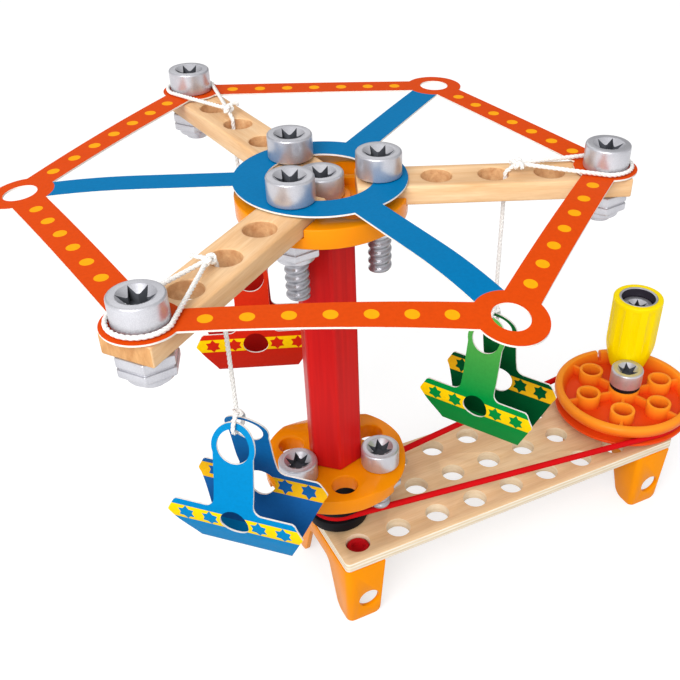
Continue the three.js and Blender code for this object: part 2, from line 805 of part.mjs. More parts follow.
const lowerGroup = addGroup(carousel, lowerHubTurn);
add(lowerGroup, 'lower_hub', hub().rotate([180, 0, 0]), orangePlastic, 0, 0, lowerHubTop);
add(lowerGroup, 'column', rotated(column(), 30), redPaint, 0, 0, columnBottom);
const lowerBoltSeat = lowerHubTop + seat;
const lowerNutBottom = lowerNutTop - nutHeight;
const lowerBoltLength = lowerBoltSeat - lowerNutBottom + lowerBoltTail;
for (const i of places(armCount)) {
  const spot = addGroup(lowerGroup, (i * 360) / armCount);
  const lowerBolt = bolt(lowerBoltLength, lowerNutBottom - lowerBoltSeat);
  add(spot, `lower_bolt_${i + 1}`, lowerBolt, silverPlastic, pitch, 0, lowerBoltSeat);
  add(spot, `lower_nut_${i + 1}`, rotated(nut(), 90), silverPlastic, pitch, 0, lowerNutTop);
}

add(carousel, 'top_hub', hub(), orangePlastic, 0, 0, topHubBottom);
const centreSeat = topHubBottom + bossFace + seat;
const centreBolt = bolt(centreSeat - columnTop + columnBoreDepth - overrun);
add(carousel, 'centre_bolt', centreBolt, silverPlastic, 0, 0, centreSeat);
add(carousel, 'card_frame', cardFrame(), redCard, 0, 0, cardBottom);

// Each arm carries its bolts and nuts, its cord and its gondola
const hubNutTop = topHubBottom - seat;
const tipNutTop = armBottom - seat;
const hubThreadTop = hubNutTop - nutHeight - headSeat;
const tipBoltLength = headSeat - tipNutTop + nutHeight + tipBoltTail;
const gondolaAngles = { green: greenGondolaAngle, red: redGondolaAngle, blue: blueGondolaAngle };
Object.entries(gondolaAngles).forEach(([name, turn], i) => {
  const wing = addGroup(carousel, (i * 360) / armCount);
  const wingTurn = carouselAngle + (i * 360) / armCount;
  add(wing, `arm_${name}`, arm(), beech, 0, 0, armBottom);
  const hubBolt = bolt(hubBoltTail - hubThreadTop, hubThreadTop);
  add(wing, `hub_bolt_${name}`, hubBolt, silverPlastic, pitch, 0, headSeat);
  add(wing, `hub_nut_${name}`, nut(), silverPlastic, pitch, 0, hubNutTop);
  add(wing, `tip_bolt_${name}`, bolt(tipBoltLength), silverPlastic, tipReach, 0, headSeat);
  add(wing, `tip_nut_${name}`, nut(), silverPlastic, tipReach, 0, tipNutTop);
  add(wing, `arm_cord_${name}`, armCord(), whiteCord, 0, 0, 0);
  const drop = post(cordDiameter, dropLength, cordSides);
  add(wing, `cord_drop_${name}`, drop, whiteCord, dropReach, 0, dropBottom);
  const swing = addGroup(wing, turn - wingTurn, dropReach, dropBottom);
  add(swing, `gondola_${name}`, gondola(), gondolaFinishes[name], 0, 0, 0);
  add(swing, `gondola_tie_${name}`, gondolaTie(), whiteCord, 0, 0, 0);
});

// Crank: the wheel turns on its own bolt and carries the grip on one of its bosses
const crank = addGroup(toy, 0, crankX);
const rubberZ = bossTop + seat;
const crankHead = rubberZ + rubberThickness + seat;
const crankSpacer = ring(washerDiameter, holeDiameter, wheelBottom - boardTop - 2 * seat);
add(crank, 'crank_spacer', crankSpacer, blackRubber, 0, 0, boardTop + seat);
add(crank, 'rubber_washer', ring(rubberDiameter, holeDiameter, rubberThickness), blackRubber, 0, 0, rubberZ);
add(crank, 'crank_bolt', bolt(crankHead - legUnder + nutHeight), silverPlastic, 0, 0, crankHead);
add(crank, 'crank_nut', nut(), silverPlastic, 0, 0, legUnder);

const wheel = addGroup(crank, wheelAngle);
add(wheel, 'crank_wheel', crankWheel(), wheelPlastic, 0, 0, 0);
add(wheel, 'grip', grip(), yellowPlastic, pitch, 0, 0);
add(wheel, 'grip_bolt', bolt(gripSeat - wheelBottom - gripBoltInset), silverPlastic, pitch, 0, gripSeat);

// The whole stands on z = 0, centred on its own box
toy.updateMatrixWorld(true);
const box = new THREE.Box3().setFromObject(toy, true);
const centre = box.getCenter(new THREE.Vector3());
toy.position.set(-centre.x, -centre.y, -box.min.z);

export default toy;
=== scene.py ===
from math import asin, ceil, cos, pi, radians, sin

import bpy
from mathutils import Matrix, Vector


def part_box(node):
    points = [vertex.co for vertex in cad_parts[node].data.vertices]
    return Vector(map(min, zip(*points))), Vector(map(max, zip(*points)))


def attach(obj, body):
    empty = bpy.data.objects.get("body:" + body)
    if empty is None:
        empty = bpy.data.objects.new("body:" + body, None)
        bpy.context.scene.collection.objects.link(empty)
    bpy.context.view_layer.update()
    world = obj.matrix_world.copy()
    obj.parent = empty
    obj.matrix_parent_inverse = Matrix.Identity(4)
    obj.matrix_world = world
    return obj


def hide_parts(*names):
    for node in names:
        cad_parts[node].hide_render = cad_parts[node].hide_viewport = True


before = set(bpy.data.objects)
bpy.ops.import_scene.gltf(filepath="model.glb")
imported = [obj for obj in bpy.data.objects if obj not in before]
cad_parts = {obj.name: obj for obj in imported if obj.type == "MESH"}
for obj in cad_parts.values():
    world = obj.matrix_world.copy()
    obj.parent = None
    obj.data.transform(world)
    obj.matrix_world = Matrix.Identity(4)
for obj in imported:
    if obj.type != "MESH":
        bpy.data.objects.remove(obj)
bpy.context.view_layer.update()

# Camera, light and floor
# The camera stands where the photograph was taken from, and its lens is shifted because the picture
# is cut from a larger one. A soft lamp from the left and a pale surround, darker behind the toy,
# light it on a plain floor.

view_place = (-0.20185, -0.34558, 0.41958)
view_turn = (radians(51.09), radians(-0.87), radians(-28.68))
view_lens = 49.06
view_shift = (-0.1134, 0.1114)
lamps = (("key_lamp", (-0.95, -0.85, 1.1), 0.9, 18), ("back_lamp", (0.3, 1.3, 1.3), 1.2, 3))
surround_front = 1.12
surround_back = 0.3
surround_dark_side = (0.55, 0.835, 0)
floor_size = 8
floor_grey = 0.45
floor_glow = 0.62
white = (1, 1, 1, 1)


def linear(red, green, blue):
    """A colour given as 0 to 255, as a linear colour with alpha."""
    return (*[((c / 255 + 0.055) / 1.055) ** 2.4 if c > 10 else c / 3294 for c in (red, green, blue)], 1)


def node(tree, kind, **values):
    """A shader node, with the values of its inputs or of its own settings."""
    made = tree.nodes.new("ShaderNode" + kind)
    for key, value in values.items():
        name = key.replace("_", " ")
        if name in made.inputs:
            made.inputs[name].default_value = value
        else:
            setattr(made, key, value)
    return made


def new_material(name, roughness, metallic=0, specular=0.5):
    """A material with its shader's plain values set, and its node tree."""
    material = bpy.data.materials.new(name)
    material.use_nodes = True
    shader = material.node_tree.nodes["Principled BSDF"]
    shader.inputs["Roughness"].default_value = roughness
    shader.inputs["Metallic"].default_value = metallic
    shader.inputs["Specular IOR Level"].default_value = specular
    return material, material.node_tree, shader


def mapped(tree, value, **limits):
    """A value stretched from one range to another."""
    stretch = node(tree, "MapRange", **limits)
    tree.links.new(value, stretch.inputs["Value"])
    return stretch.outputs["Result"]


def ray_share(tree, *kinds):
    """One for rays of either of two kinds, and nought for the others."""
    paths = node(tree, "LightPath")
    seen = node(tree, "Math", operation="MAXIMUM")
    for slot, kind in enumerate(kinds):
        tree.links.new(paths.outputs[kind], seen.inputs[slot])
    return seen.outputs[0]


bpy.ops.object.camera_add(location=view_place, rotation=view_turn)
camera = bpy.context.object
camera.data.lens = view_lens
camera.data.shift_x, camera.data.shift_y = view_shift
bpy.context.scene.camera = camera
bpy.context.scene.view_settings.view_transform = "Standard"

for lamp_name, lamp_place, lamp_size, lamp_power in lamps:
    bpy.ops.object.light_add(type="AREA", location=lamp_place)
    lamp = bpy.context.object
    lamp.name = lamp_name
    lamp.data.size = lamp_size
    lamp.data.energy = lamp_power
    lamp.rotation_euler = Vector(lamp_place).to_track_quat("Z", "Y").to_euler()

world = bpy.data.worlds.new("surround")
bpy.context.scene.world = world
world.use_nodes = True
surround = world.node_tree
direction = node(surround, "TexCoord")
backwards = node(surround, "VectorMath", operation="DOT_PRODUCT")
backwards.inputs[1].default_value = surround_dark_side
surround.links.new(direction.outputs["Generated"], backwards.inputs[0])
shading = mapped(
    surround, backwards.outputs["Value"], From_Min=-1, To_Min=surround_front, To_Max=surround_back
)
brightness = node(surround, "MapRange", To_Max=1)
surround.links.new(shading, brightness.inputs["To Min"])
surround.links.new(ray_share(surround, "Is Camera Ray", "Is Transmission Ray"), brightness.inputs["Value"])
surround.links.new(brightness.outputs["Result"], surround.nodes["Background"].inputs["Strength"])
surround.nodes["Background"].inputs["Color"].default_value = white

bpy.ops.mesh.primitive_plane_add(size=floor_size)
floor = bpy.context.object
floor.name = "floor"
floor_paper, paper, paper_surface = new_material("floor_paper", roughness=0.9)
paper_surface.inputs["Base Color"].default_value = (floor_grey, floor_grey, floor_grey, 1)
paper_surface.inputs["Emission Color"].default_value = white
glow = node(paper, "Math", operation="MULTIPLY")
glow.inputs[1].default_value = floor_glow
paper.links.new(ray_share(paper, "Is Camera Ray", "Is Glossy Ray"), glow.inputs[0])
paper.links.new(glow.outputs[0], paper_surface.inputs["Emission Strength"])
floor.data.materials.append(floor_paper)

# Base board
# A strip of thin plywood with three rows of nine bolt holes, its corners rounded and its edges
# sanded. The face shows fine grain along the board, and the edge its paler plies.

board_low, board_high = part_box("base_board")
board_corner = 0.0025
board_edge_softness = 0.0004
hole_pitch = 0.025
hole_diameter = 0.0135
hole_columns = 9
hole_rows = 3
hole_sides = 48
overrun = 0.002


def middle(packed):
    """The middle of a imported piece, which is its axis where it is round."""
    low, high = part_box(packed)
    return (low + high) / 2


def pick(piece):
    """Makes a piece the only one selected, and the active one."""
    bpy.ops.object.select_all(action="DESELECT")
    piece.select_set(True)
    bpy.context.view_layer.objects.active = piece


def settled(piece):
    """Settles a piece's place, turn and size in its mesh."""
    pick(piece)
    bpy.ops.object.transform_apply(location=True, rotation=True, scale=True)
    return piece


def started(name, material):
    """Takes the primitive just added as a piece."""
    piece = settled(bpy.context.object)
    piece.name = name
    piece.data.materials.append(material)
    return piece


def block(name, material, low, high):
    """A box between two corners."""
    low, high = Vector(low), Vector(high)
    bpy.ops.mesh.primitive_cube_add(size=1, location=(low + high) / 2, scale=high - low)
    return started(name, material)


def rod(name, material, diameter, low, high, x=0, y=0, sides=hole_sides):
    """An upright round bar between two heights."""
    place = (x, y, (low + high) / 2)
    bpy.ops.mesh.primitive_cylinder_add(vertices=sides, radius=diameter / 2, depth=high - low, location=place)
    return started(name, material)


def modified(piece, kind, **settings):
    """Adds a modifier with its settings, and applies it."""
    pick(piece)
    modifier = piece.modifiers.new(kind.lower(), kind)
    for key, value in settings.items():
        setattr(modifier, key, value)
    bpy.ops.object.modifier_apply(modifier=modifier.name)
    return piece


def shaped(piece, tool, operation="DIFFERENCE"):
    """Cuts a piece by a tool, or joins or trims it. Faces left by the tool keep the tool's material."""
    modified(piece, "BOOLEAN", object=tool, operation=operation, solver="EXACT", material_mode="TRANSFER")
    bpy.data.objects.remove(tool)
    return piece


def shaded(piece, angle=35):
    """Shades a piece smooth between the edges that are sharper than an angle."""
    pick(piece)
    bpy.ops.object.shade_smooth_by_angle(angle=radians(angle))
    return piece


def softened(piece, width, segments=2, angle=35, smooth=35):
    """Rounds a piece's sharp edges, and shades it smooth between the edges that are left."""
    modified(
        piece, "BEVEL", width=width, segments=segments, limit_method="ANGLE", angle_limit=radians(angle),
        use_clamp_overlap=False,
    )
    return shaded(piece, smooth)


def opened(piece, kind="VERT", action="SELECT"):
    """Goes into edit mode on a piece, with all of it selected, or none."""
    pick(piece)
    bpy.ops.object.mode_set(mode="EDIT")
    bpy.ops.mesh.select_mode(type=kind)
    bpy.ops.mesh.select_all(action=action)


def shut():
    """Leaves edit mode."""
    bpy.ops.object.mode_set(mode="OBJECT")


def grabbed(piece, kind, test):
    """Goes into edit mode with the corners, edges or faces selected that pass a test."""
    opened(piece, kind, "DESELECT")
    shut()
    mesh = piece.data
    if kind == "VERT":
        for vertex in mesh.vertices:
            vertex.select = test(vertex.co)
    elif kind == "EDGE":
        for edge in mesh.edges:
            edge.select = test(*[mesh.vertices[i].co for i in edge.vertices])
    else:
        for face in mesh.polygons:
            face.select = test(face)
    bpy.ops.object.mode_set(mode="EDIT")


def bevelled(piece, test, width, segments=5):
    """Rounds the edges whose two ends pass a test."""
    grabbed(piece, "EDGE", test)
    bpy.ops.mesh.bevel(offset=width, segments=segments, affect="EDGES")
    shut()
    return piece


def near(a, b, gap=2e-5):
    """Whether two lengths are the same."""
    return abs(a - b) < gap


def spot_on(tree, source):
    """Where a point lies: in the toy's frame, or by a piece's own coordinates."""
    if source == "Object":
        return node(tree, "TexCoord").outputs["Object"]
    return node(tree, "Attribute", attribute_name=source).outputs["Vector"]


def pattern(tree, scale, source="Object", kind="TexNoise", **values):
    """A texture on coordinates that are scaled by a mapping, alike all ways or by its own amounts."""
    mapping = node(tree, "Mapping", Scale=scale if isinstance(scale, (tuple, list)) else [scale] * 3)
    texture = node(tree, kind, Scale=1, **values)
    tree.links.new(spot_on(tree, source), mapping.inputs["Vector"])
    tree.links.new(mapping.outputs["Vector"], texture.inputs["Vector"])
    return texture.outputs[0]


def ramp(tree, value, *stops):
    """Colours spread over a value, from stops of place and colour."""
    spread = node(tree, "ValToRGB")
    band = spread.color_ramp
    while len(band.elements) < len(stops):
        band.elements.new(0.5)
    for element, (place, shade) in zip(band.elements, stops):
        element.position = place
        element.color = shade
    tree.links.new(value, spread.inputs["Fac"])
    return spread.outputs["Color"]


def mixed(tree, share, first, second, blend="MIX"):
    """Two colours, each a socket or a plain colour, mixed by a share."""
    mix = node(tree, "Mix", data_type="RGBA", blend_type=blend)
    for slot, value in ((0, share), (6, first), (7, second)):
        if isinstance(value, bpy.types.NodeSocket):
            tree.links.new(value, mix.inputs[slot])
        else:
            mix.inputs[slot].default_value = value
    return mix.outputs[2]


def times(tree, first, second):
    """Two colours multiplied."""
    return mixed(tree, 1, first, second, "MULTIPLY")


def coordinates(tree, source="Object"):
    """Where a point lies, as three values."""
    split = node(tree, "SeparateXYZ")
    tree.links.new(spot_on(tree, source), split.inputs[0])
    return [split.outputs[axis] for axis in "XYZ"]


def bumped(tree, shader, height, strength, depth):
    """Raises a surface by a height pattern."""
    bump = node(tree, "Bump", Strength=strength, Distance=depth)
    tree.links.new(height, bump.inputs["Height"])
    tree.links.new(bump.outputs["Normal"], shader.inputs["Normal"])


def wood(name, dark, light, grain, source="Object", roughness=0.55, depth=0.00008):
    """Bare wood: long streaks along the grain, finer pores in them and slow changes of tone."""
    material, tree, shader = new_material(name, roughness, specular=0.3)
    streaks = pattern(tree, grain, source, Detail=5, Roughness=0.6, Distortion=0.4)
    pores = pattern(tree, [9 * part for part in grain], source, Detail=3)
    tone = pattern(tree, [0.12 * part for part in grain], source, Detail=1)
    base = ramp(tree, streaks, (0.3, dark), (0.7, light))
    fine = ramp(tree, pores, (0.35, (0.93, 0.91, 0.89, 1)), (0.6, white))
    slow = ramp(tree, tone, (0.3, (0.94, 0.92, 0.9, 1)), (0.7, white))
    tree.links.new(times(tree, times(tree, base, fine), slow), shader.inputs["Base Color"])
    bumped(tree, shader, pores, 0.35, depth)
    return material


def ply_edge():
    """The board's edge: pale plies, each a thin layer with its own tone."""
    material, tree, shader = new_material("board_edge", 0.6, specular=0.3)
    layers = mapped(tree, coordinates(tree)[2], From_Min=board_low.z, From_Max=board_high.z)
    pale = linear(250, 240, 222)
    warm = linear(236, 218, 186)
    plies = ramp(
        tree, layers, (0, pale), (0.2, pale), (0.24, warm), (0.4, warm), (0.44, pale), (0.56, pale),
        (0.6, warm), (0.76, warm), (0.8, pale),
    )
    fibres = pattern(tree, (60, 60, 900), Detail=3)
    shades = ramp(tree, fibres, (0.35, (0.9, 0.88, 0.86, 1)), (0.6, white))
    tree.links.new(times(tree, plies, shades), shader.inputs["Base Color"])
    bumped(tree, shader, fibres, 0.3, 0.0001)
    return material


def dressed(piece, body, slot, *nodes):
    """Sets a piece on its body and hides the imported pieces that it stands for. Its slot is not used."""
    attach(piece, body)
    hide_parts(*nodes)


board_face = wood("board_face", linear(231, 191, 142), linear(247, 215, 172), (9, 160, 160))
board_hole = wood("board_hole", linear(230, 206, 168), linear(250, 234, 206), (60, 60, 500))

axle = middle("small_pulley")
board = block("board", board_face, board_low, board_high)
board.data.materials.append(ply_edge())
bevelled(board, lambda a, b: not near(a.z, b.z), board_corner)
holes = rod(
    "holes", board_hole, hole_diameter, board_low.z - overrun, board_high.z + overrun,
    axle.x, axle.y - hole_pitch,
)
for count, offset in ((hole_columns, (hole_pitch, 0, 0)), (hole_rows, (0, hole_pitch, 0))):
    modified(
        holes, "ARRAY", count=count, use_relative_offset=False, use_constant_offset=True,
        constant_offset_displace=offset,
    )
shaped(board, holes)
softened(board, board_edge_softness)
for face in board.data.polygons:
    if abs(face.normal.z) < 0.3 and face.material_index == 0:
        face.material_index = 1
dressed(board, "base", "plywood", "base_board")

# Leg brackets
# Orange moulded brackets under the board's ends: a top plate, two cheeks with a hole in each, and an
# arched web on the side away from the crank. The mould leaves every corner round and every wall thin.

crank = middle("crank_spacer")
leg_low, leg_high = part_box("leg_bracket_left")
leg_left = leg_low.x - axle.x
leg_right = leg_high.x - axle.x
leg_half = leg_high.y
leg_wall = 0.0027
leg_corner = 0.0036
leg_foot_round = 0.005
leg_taper = 0.004
arch_height = 0.0295
arch_top_half = 0.0125
arch_foot_half = 0.0235
cheek_hole = 0.012
cheek_hole_height = 0.014
moulded_edge = 0.0004
double_gap = 1e-6


def wire(name, spots):
    """A chain of edges through spots, drawn by extruding one corner from each to the next."""
    bpy.ops.mesh.primitive_circle_add(vertices=3, radius=overrun)
    piece = bpy.context.object
    piece.name = name
    opened(piece)
    bpy.ops.mesh.merge(type="CENTER")
    bpy.ops.transform.translate(value=spots[0])
    for before, after in zip(spots, spots[1:]):
        step = Vector(after) - Vector(before)
        bpy.ops.mesh.extrude_region_move(TRANSFORM_OT_translate={"value": step})
    shut()
    return piece


def closed_up(piece, material):
    """Merges what a shape has twice, turns its faces outwards and gives it its material."""
    opened(piece)
    bpy.ops.mesh.remove_doubles(threshold=double_gap)
    bpy.ops.mesh.normals_make_consistent(inside=False)
    shut()
    piece.data.materials.append(material)
    return piece


def prism(name, material, spots, push):
    """A solid with a flat outline, pushed one way."""
    piece = wire(name, [*spots, spots[0]])
    opened(piece)
    bpy.ops.mesh.remove_doubles(threshold=double_gap)
    bpy.ops.mesh.edge_face_add()
    bpy.ops.mesh.extrude_region_move(TRANSFORM_OT_translate={"value": push})
    shut()
    return closed_up(piece, material)


def moved(piece, spot, turn=0, flip=False):
    """Settles a piece in its place, turned about the upright axis."""
    piece.location = spot
    piece.rotation_euler = (pi if flip else 0, 0, radians(turn))
    return settled(piece)


def placed(piece, name, *place):
    """A copy of a piece, with its own mesh, settled in its place."""
    pick(piece)
    bpy.ops.object.duplicate()
    bpy.context.object.name = name
    return moved(bpy.context.object, *place)


def plastic(name, colour, roughness=0.3, change=0.06, grain=1500, depth=0.00002, specular=0.08):
    """Moulded plastic: one colour with slow changes of tone, uneven gloss and a fine grain."""
    material, tree, shader = new_material(name, roughness, specular=specular)
    tone = pattern(tree, 45, Detail=2)
    deep = (*[part * (1 - change) for part in colour[:3]], 1)
    tree.links.new(ramp(tree, tone, (0.35, deep), (0.65, colour)), shader.inputs["Base Color"])
    gloss = mapped(tree, tone, To_Min=roughness - 0.05, To_Max=roughness + 0.08)
    tree.links.new(gloss, shader.inputs["Roughness"])
    bumped(tree, shader, pattern(tree, grain, Detail=2), 0.25, depth)
    return material


orange = plastic("orange_moulding", linear(248, 148, 4))
leg = block("leg", orange, (leg_left, -leg_half, 0), (leg_right, leg_half, leg_high.z))
bevelled(leg, lambda a, b: near(a.x, leg_left) and near(b.x, leg_left) and not near(a.z, b.z), leg_corner)
grabbed(leg, "FACE", lambda face: face.normal.z < -0.9 or face.normal.x > 0.9)
bpy.ops.mesh.delete(type="FACE")
shut()
modified(leg, "SOLIDIFY", thickness=leg_wall, offset=-1, use_even_offset=True)

arch_below = arch_foot_half + (arch_foot_half - arch_top_half) * overrun / arch_height
arch_x = leg_left - overrun
arch = prism("arch", orange, [
    (arch_x, -arch_below, -overrun),
    (arch_x, -arch_top_half, arch_height),
    (arch_x, arch_top_half, arch_height),
    (arch_x, arch_below, -overrun),
], (leg_wall + 2 * overrun, 0, 0))
bevelled(arch, lambda a, b: near(a.z, arch_height) and near(b.z, arch_height) and near(a.y, b.y), leg_corner)
shaped(leg, arch)
taper_step = leg_taper * overrun / leg_high.z
shaped(leg, prism("taper", orange, [
    (leg_right + taper_step, -leg_half - overrun, leg_high.z + overrun),
    (leg_right + overrun, -leg_half - overrun, leg_high.z + overrun),
    (leg_right + overrun, -leg_half - overrun, -overrun),
    (leg_right - leg_taper - taper_step, -leg_half - overrun, -overrun),
], (0, 2 * (leg_half + overrun), 0)))
bevelled(
    leg,
    lambda a, b: near(a.z, 0) and near(b.z, 0) and near(abs(a.y), arch_foot_half) and not near(a.x, b.x),
    leg_foot_round,
)
bevelled(
    leg,
    lambda a, b: near(a.z, 0) and near(b.z, 0) and near(a.x, leg_right - leg_taper) and near(a.x, b.x)
    and not near(a.y, b.y),
    leg_corner,
)
bpy.ops.mesh.primitive_cylinder_add(
    vertices=hole_sides, radius=cheek_hole / 2, depth=2 * (leg_half + overrun),
    location=(0, 0, cheek_hole_height), rotation=(pi / 2, 0, 0),
)
shaped(leg, started("cheek_holes", orange))
for y in (-hole_pitch, 0, hole_pitch):
    shaped(leg, rod("plate_hole", orange, hole_diameter, arch_height + overrun, leg_high.z + overrun, 0, y))
softened(leg, moulded_edge)
for side, x in (("left", axle.x), ("right", crank.x)):
    dressed(placed(leg, "bracket_" + side, (x, 0, 0)), "base", "orange_plastic", "leg_bracket_" + side)
bpy.data.objects.remove(leg)

# Pegs
# Red plastic pegs pushed up through each bracket into the board's outer holes. The stem ends a
# little below the board's face, hollow in its middle, and the flat head stops it below.

peg_head = 0.017
peg_head_height = 0.0025
peg_stem = 0.0124
peg_hollow = 0.0075
peg_hollow_depth = 0.003
peg_round = 0.0006
peg_edge = 0.0004
peg_rim = 0.0003
merge_gap = 1e-5


def lathe(name, material, profile, sides=hole_sides, segments=3):
    """Turns a profile about the upright axis. A point is a radius, a height and, where its corner is
    rounded, how far the rounding reaches."""
    piece = wire(name, [(point[0], 0, point[1]) for point in profile])
    opened(piece)
    bpy.ops.mesh.remove_doubles(threshold=double_gap)
    shut()
    for width in sorted({point[2] for point in profile if len(point) > 2}):
        corners = [Vector((point[0], 0, point[1])) for point in profile if width in point[2:]]
        grabbed(piece, "VERT", lambda co: any((co - corner).length < merge_gap for corner in corners))
        bpy.ops.mesh.bevel(offset=width, segments=segments, affect="VERTICES")
        shut()
    opened(piece)
    bpy.ops.mesh.spin(steps=sides, angle=2 * pi, center=(0, 0, 0), axis=(0, 0, 1))
    shut()
    return shaded(closed_up(piece, material))


peg_red = plastic("peg_red", linear(190, 22, 28), roughness=0.35)
peg_low, peg_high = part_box("leg_peg_left_front")
peg_top = peg_high.z - peg_low.z
peg = lathe("peg", peg_red, [
    (0, 0), (peg_head / 2, 0, peg_round), (peg_head / 2, peg_head_height, peg_edge),
    (peg_stem / 2, peg_head_height), (peg_stem / 2, peg_top, peg_round), (peg_hollow / 2, peg_top, peg_rim),
    (peg_hollow / 2, peg_top - peg_hollow_depth), (0, peg_top - peg_hollow_depth),
])
for side in ("left", "right"):
    for row in ("front", "back"):
        peg_node = f"leg_peg_{side}_{row}"
        spot = middle(peg_node)
        pin = placed(peg, f"peg_{side}_{row}", (spot.x, spot.y, peg_low.z))
        dressed(pin, "base", "red_plastic", peg_node)
bpy.data.objects.remove(peg)

# Each shank is plain inside its pieces, and the six whose ends show end in a coarse round thread.

shank_radius = 0.0055
bolt_head = 0.010
bolt_head_height = 0.0105
shank_end_round = 0.0006
head_foot_round = 0.0005
head_round = 0.0010
socket_round = 0.0002
socket_zone = 0.8 * bolt_head
socket_reach = 0.0067
socket_waist = 0.0036
socket_depth = 0.006
sink_rim = 0.0069
sink_foot = 0.0040
sink_depth = 0.0024
star_points = 6
thread_pitch = 0.0041
thread_overlap = 0.001
thread_steps = 24
cut_gap = 1e-7
thread_section = (0.0046, 0.00465, 0.0050, 0.00538, 0.00545, 0.00538, 0.0050, 0.00465, 0.0046)


def silver_material(name, dark, light):
    """Silver plastic: tiny bright flakes, slow changes of tone and fine rubbed marks."""
    material, tree, shader = new_material(name, 0.3, metallic=0.7)
    flakes = pattern(tree, 2600, kind="TexVoronoi")
    tone = pattern(tree, 60, Detail=3)
    shade = ramp(tree, tone, (0.3, dark), (0.7, light))
    spark = ramp(tree, flakes, (0.1, white), (0.6, (0.86, 0.86, 0.87, 1)))
    tree.links.new(times(tree, shade, spark), shader.inputs["Base Color"])
    marks = pattern(tree, (400, 400, 1600), Detail=4)
    tree.links.new(mapped(tree, marks, To_Min=0.24, To_Max=0.42), shader.inputs["Roughness"])
    bumped(tree, shader, marks, 0.15, 0.00002)
    return material


silver = silver_material("silver_moulding", linear(196, 196, 202), linear(220, 220, 225))
thread_silver = silver_material("thread_moulding", linear(158, 158, 164), linear(188, 188, 194))
# The star socket's walls and floor are dark grey: painted shade for the deep socket.
socket_painted_shade = plastic("painted_socket_shade", linear(84, 86, 92), roughness=0.4)


def around(reach, angle):
    """A place at a reach from the origin and at an angle round it, in degrees."""
    return reach * cos(radians(angle)), reach * sin(radians(angle))


def thread(low, high):
    """A helical thread between two heights, one pitch of its section carried round and up."""
    bottom = low - thread_pitch
    step = thread_pitch / (len(thread_section) - 1)
    piece = wire("thread", [(radius, 0, bottom + i * step) for i, radius in enumerate(thread_section)])
    turns = ceil((high - bottom) / thread_pitch) + 1
    modified(
        piece, "SCREW", axis="Z", angle=2 * pi, screw_offset=thread_pitch, iterations=turns,
        steps=thread_steps, render_steps=thread_steps, use_merge_vertices=True, merge_threshold=merge_gap,
    )
    for height, way in ((low, -1), (high, 1)):
        opened(piece)
        bpy.ops.mesh.bisect(
            plane_co=(0, 0, height), plane_no=(0, 0, way), use_fill=True, clear_outer=True,
            threshold=cut_gap,
        )
        shut()
    return closed_up(piece, thread_silver)


def bolt(length, threaded=0):
    """A bolt whose head stands on z = 0, with its shank below and a thread over its last part."""
    end = -length + threaded
    piece = lathe("bolt", silver, [
        (0, end), (shank_radius, end, shank_end_round), (shank_radius, 0), (bolt_head, 0, head_foot_round),
        (bolt_head, bolt_head_height, head_round), (0, bolt_head_height),
    ], segments=4)
    shaped(piece, lathe("sink", silver, [
        (0, bolt_head_height - sink_depth), (sink_foot, bolt_head_height - sink_depth),
        (sink_rim, bolt_head_height), (sink_rim, bolt_head_height + overrun), (0, bolt_head_height + overrun),
    ]))
    socket_floor = bolt_head_height - socket_depth
    star = [
        (*around(socket_waist if i % 2 else socket_reach, i * 180 / star_points), socket_floor)
        for i in range(2 * star_points)
    ]
    # The socket's cut faces keep the dark painted shade.
    shaped(piece, prism("socket", socket_painted_shade, star, (0, 0, socket_depth + overrun)))
    if threaded:
        shaped(piece, thread(-length, end + thread_overlap), "UNION")
        opened(piece)
        bpy.ops.mesh.remove_doubles(threshold=double_gap)
        bpy.ops.mesh.fill_holes(sides=0)
        shut()
    bevelled(
        piece, lambda *ends: all(near(c.z, bolt_head_height) and c.xy.length < socket_zone for c in ends),
        socket_round, segments=2,
    )
    return shaded(piece, 40)


arm_angle = -22.3
lower_hub_angle = -43.7
wheel_turn = 49.1
colours = ("green", "red", "blue")
for length, threaded, body, turn, alike in (
    (0.0300, 0.0120, "carousel", lower_hub_angle, ["lower_bolt_1", "lower_bolt_2", "lower_bolt_3"]),
    (0.0460, 0.0183, "carousel", arm_angle, ["hub_bolt_" + colour for colour in colours]),
    (0.0240, 0, "carousel", arm_angle, ["tip_bolt_" + colour for colour in colours]),
    (0.0392, 0, "carousel", arm_angle, ["centre_bolt"]),
    (0.0873, 0, "carousel", arm_angle, ["axle_bolt"]),
    (0.0448, 0, "base", 0, ["crank_bolt"]),
    (0.0460, 0, "crank", wheel_turn, ["grip_bolt"]),
):
    model = bolt(length, threaded)
    for i, packed in enumerate(alike):
        low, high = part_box(packed)
        spot = middle(packed)
        flip = packed == "axle_bolt"
        seat = low.z + bolt_head_height if flip else high.z - bolt_head_height
        screw = placed(model, "screw_" + packed, (spot.x, spot.y, seat), turn + i * 120, flip)
        dressed(screw, body, "silver_plastic", packed)
    bpy.data.objects.remove(model)

# Nuts
# Six sided silver nuts, with a groove round them above a softly rounded lower edge, and a round
# flange beneath. They are screwed up against the hubs and the arms.

nut_flat = 0.0199
nut_corner = nut_flat / 2 / cos(pi / 6)
nut_body = 0.0085
nut_height = 0.011
nut_groove_top = 0.0037
nut_groove_bottom = 0.0049
nut_groove = 0.0009
nut_flange = 0.0085
nut_bore = 0.0116
nut_foot_round = 0.0012
nut_top_round = 0.0006
nut_groove_edge = 0.0002
nut_flange_edge = 0.0005
nut_softness = 0.00025

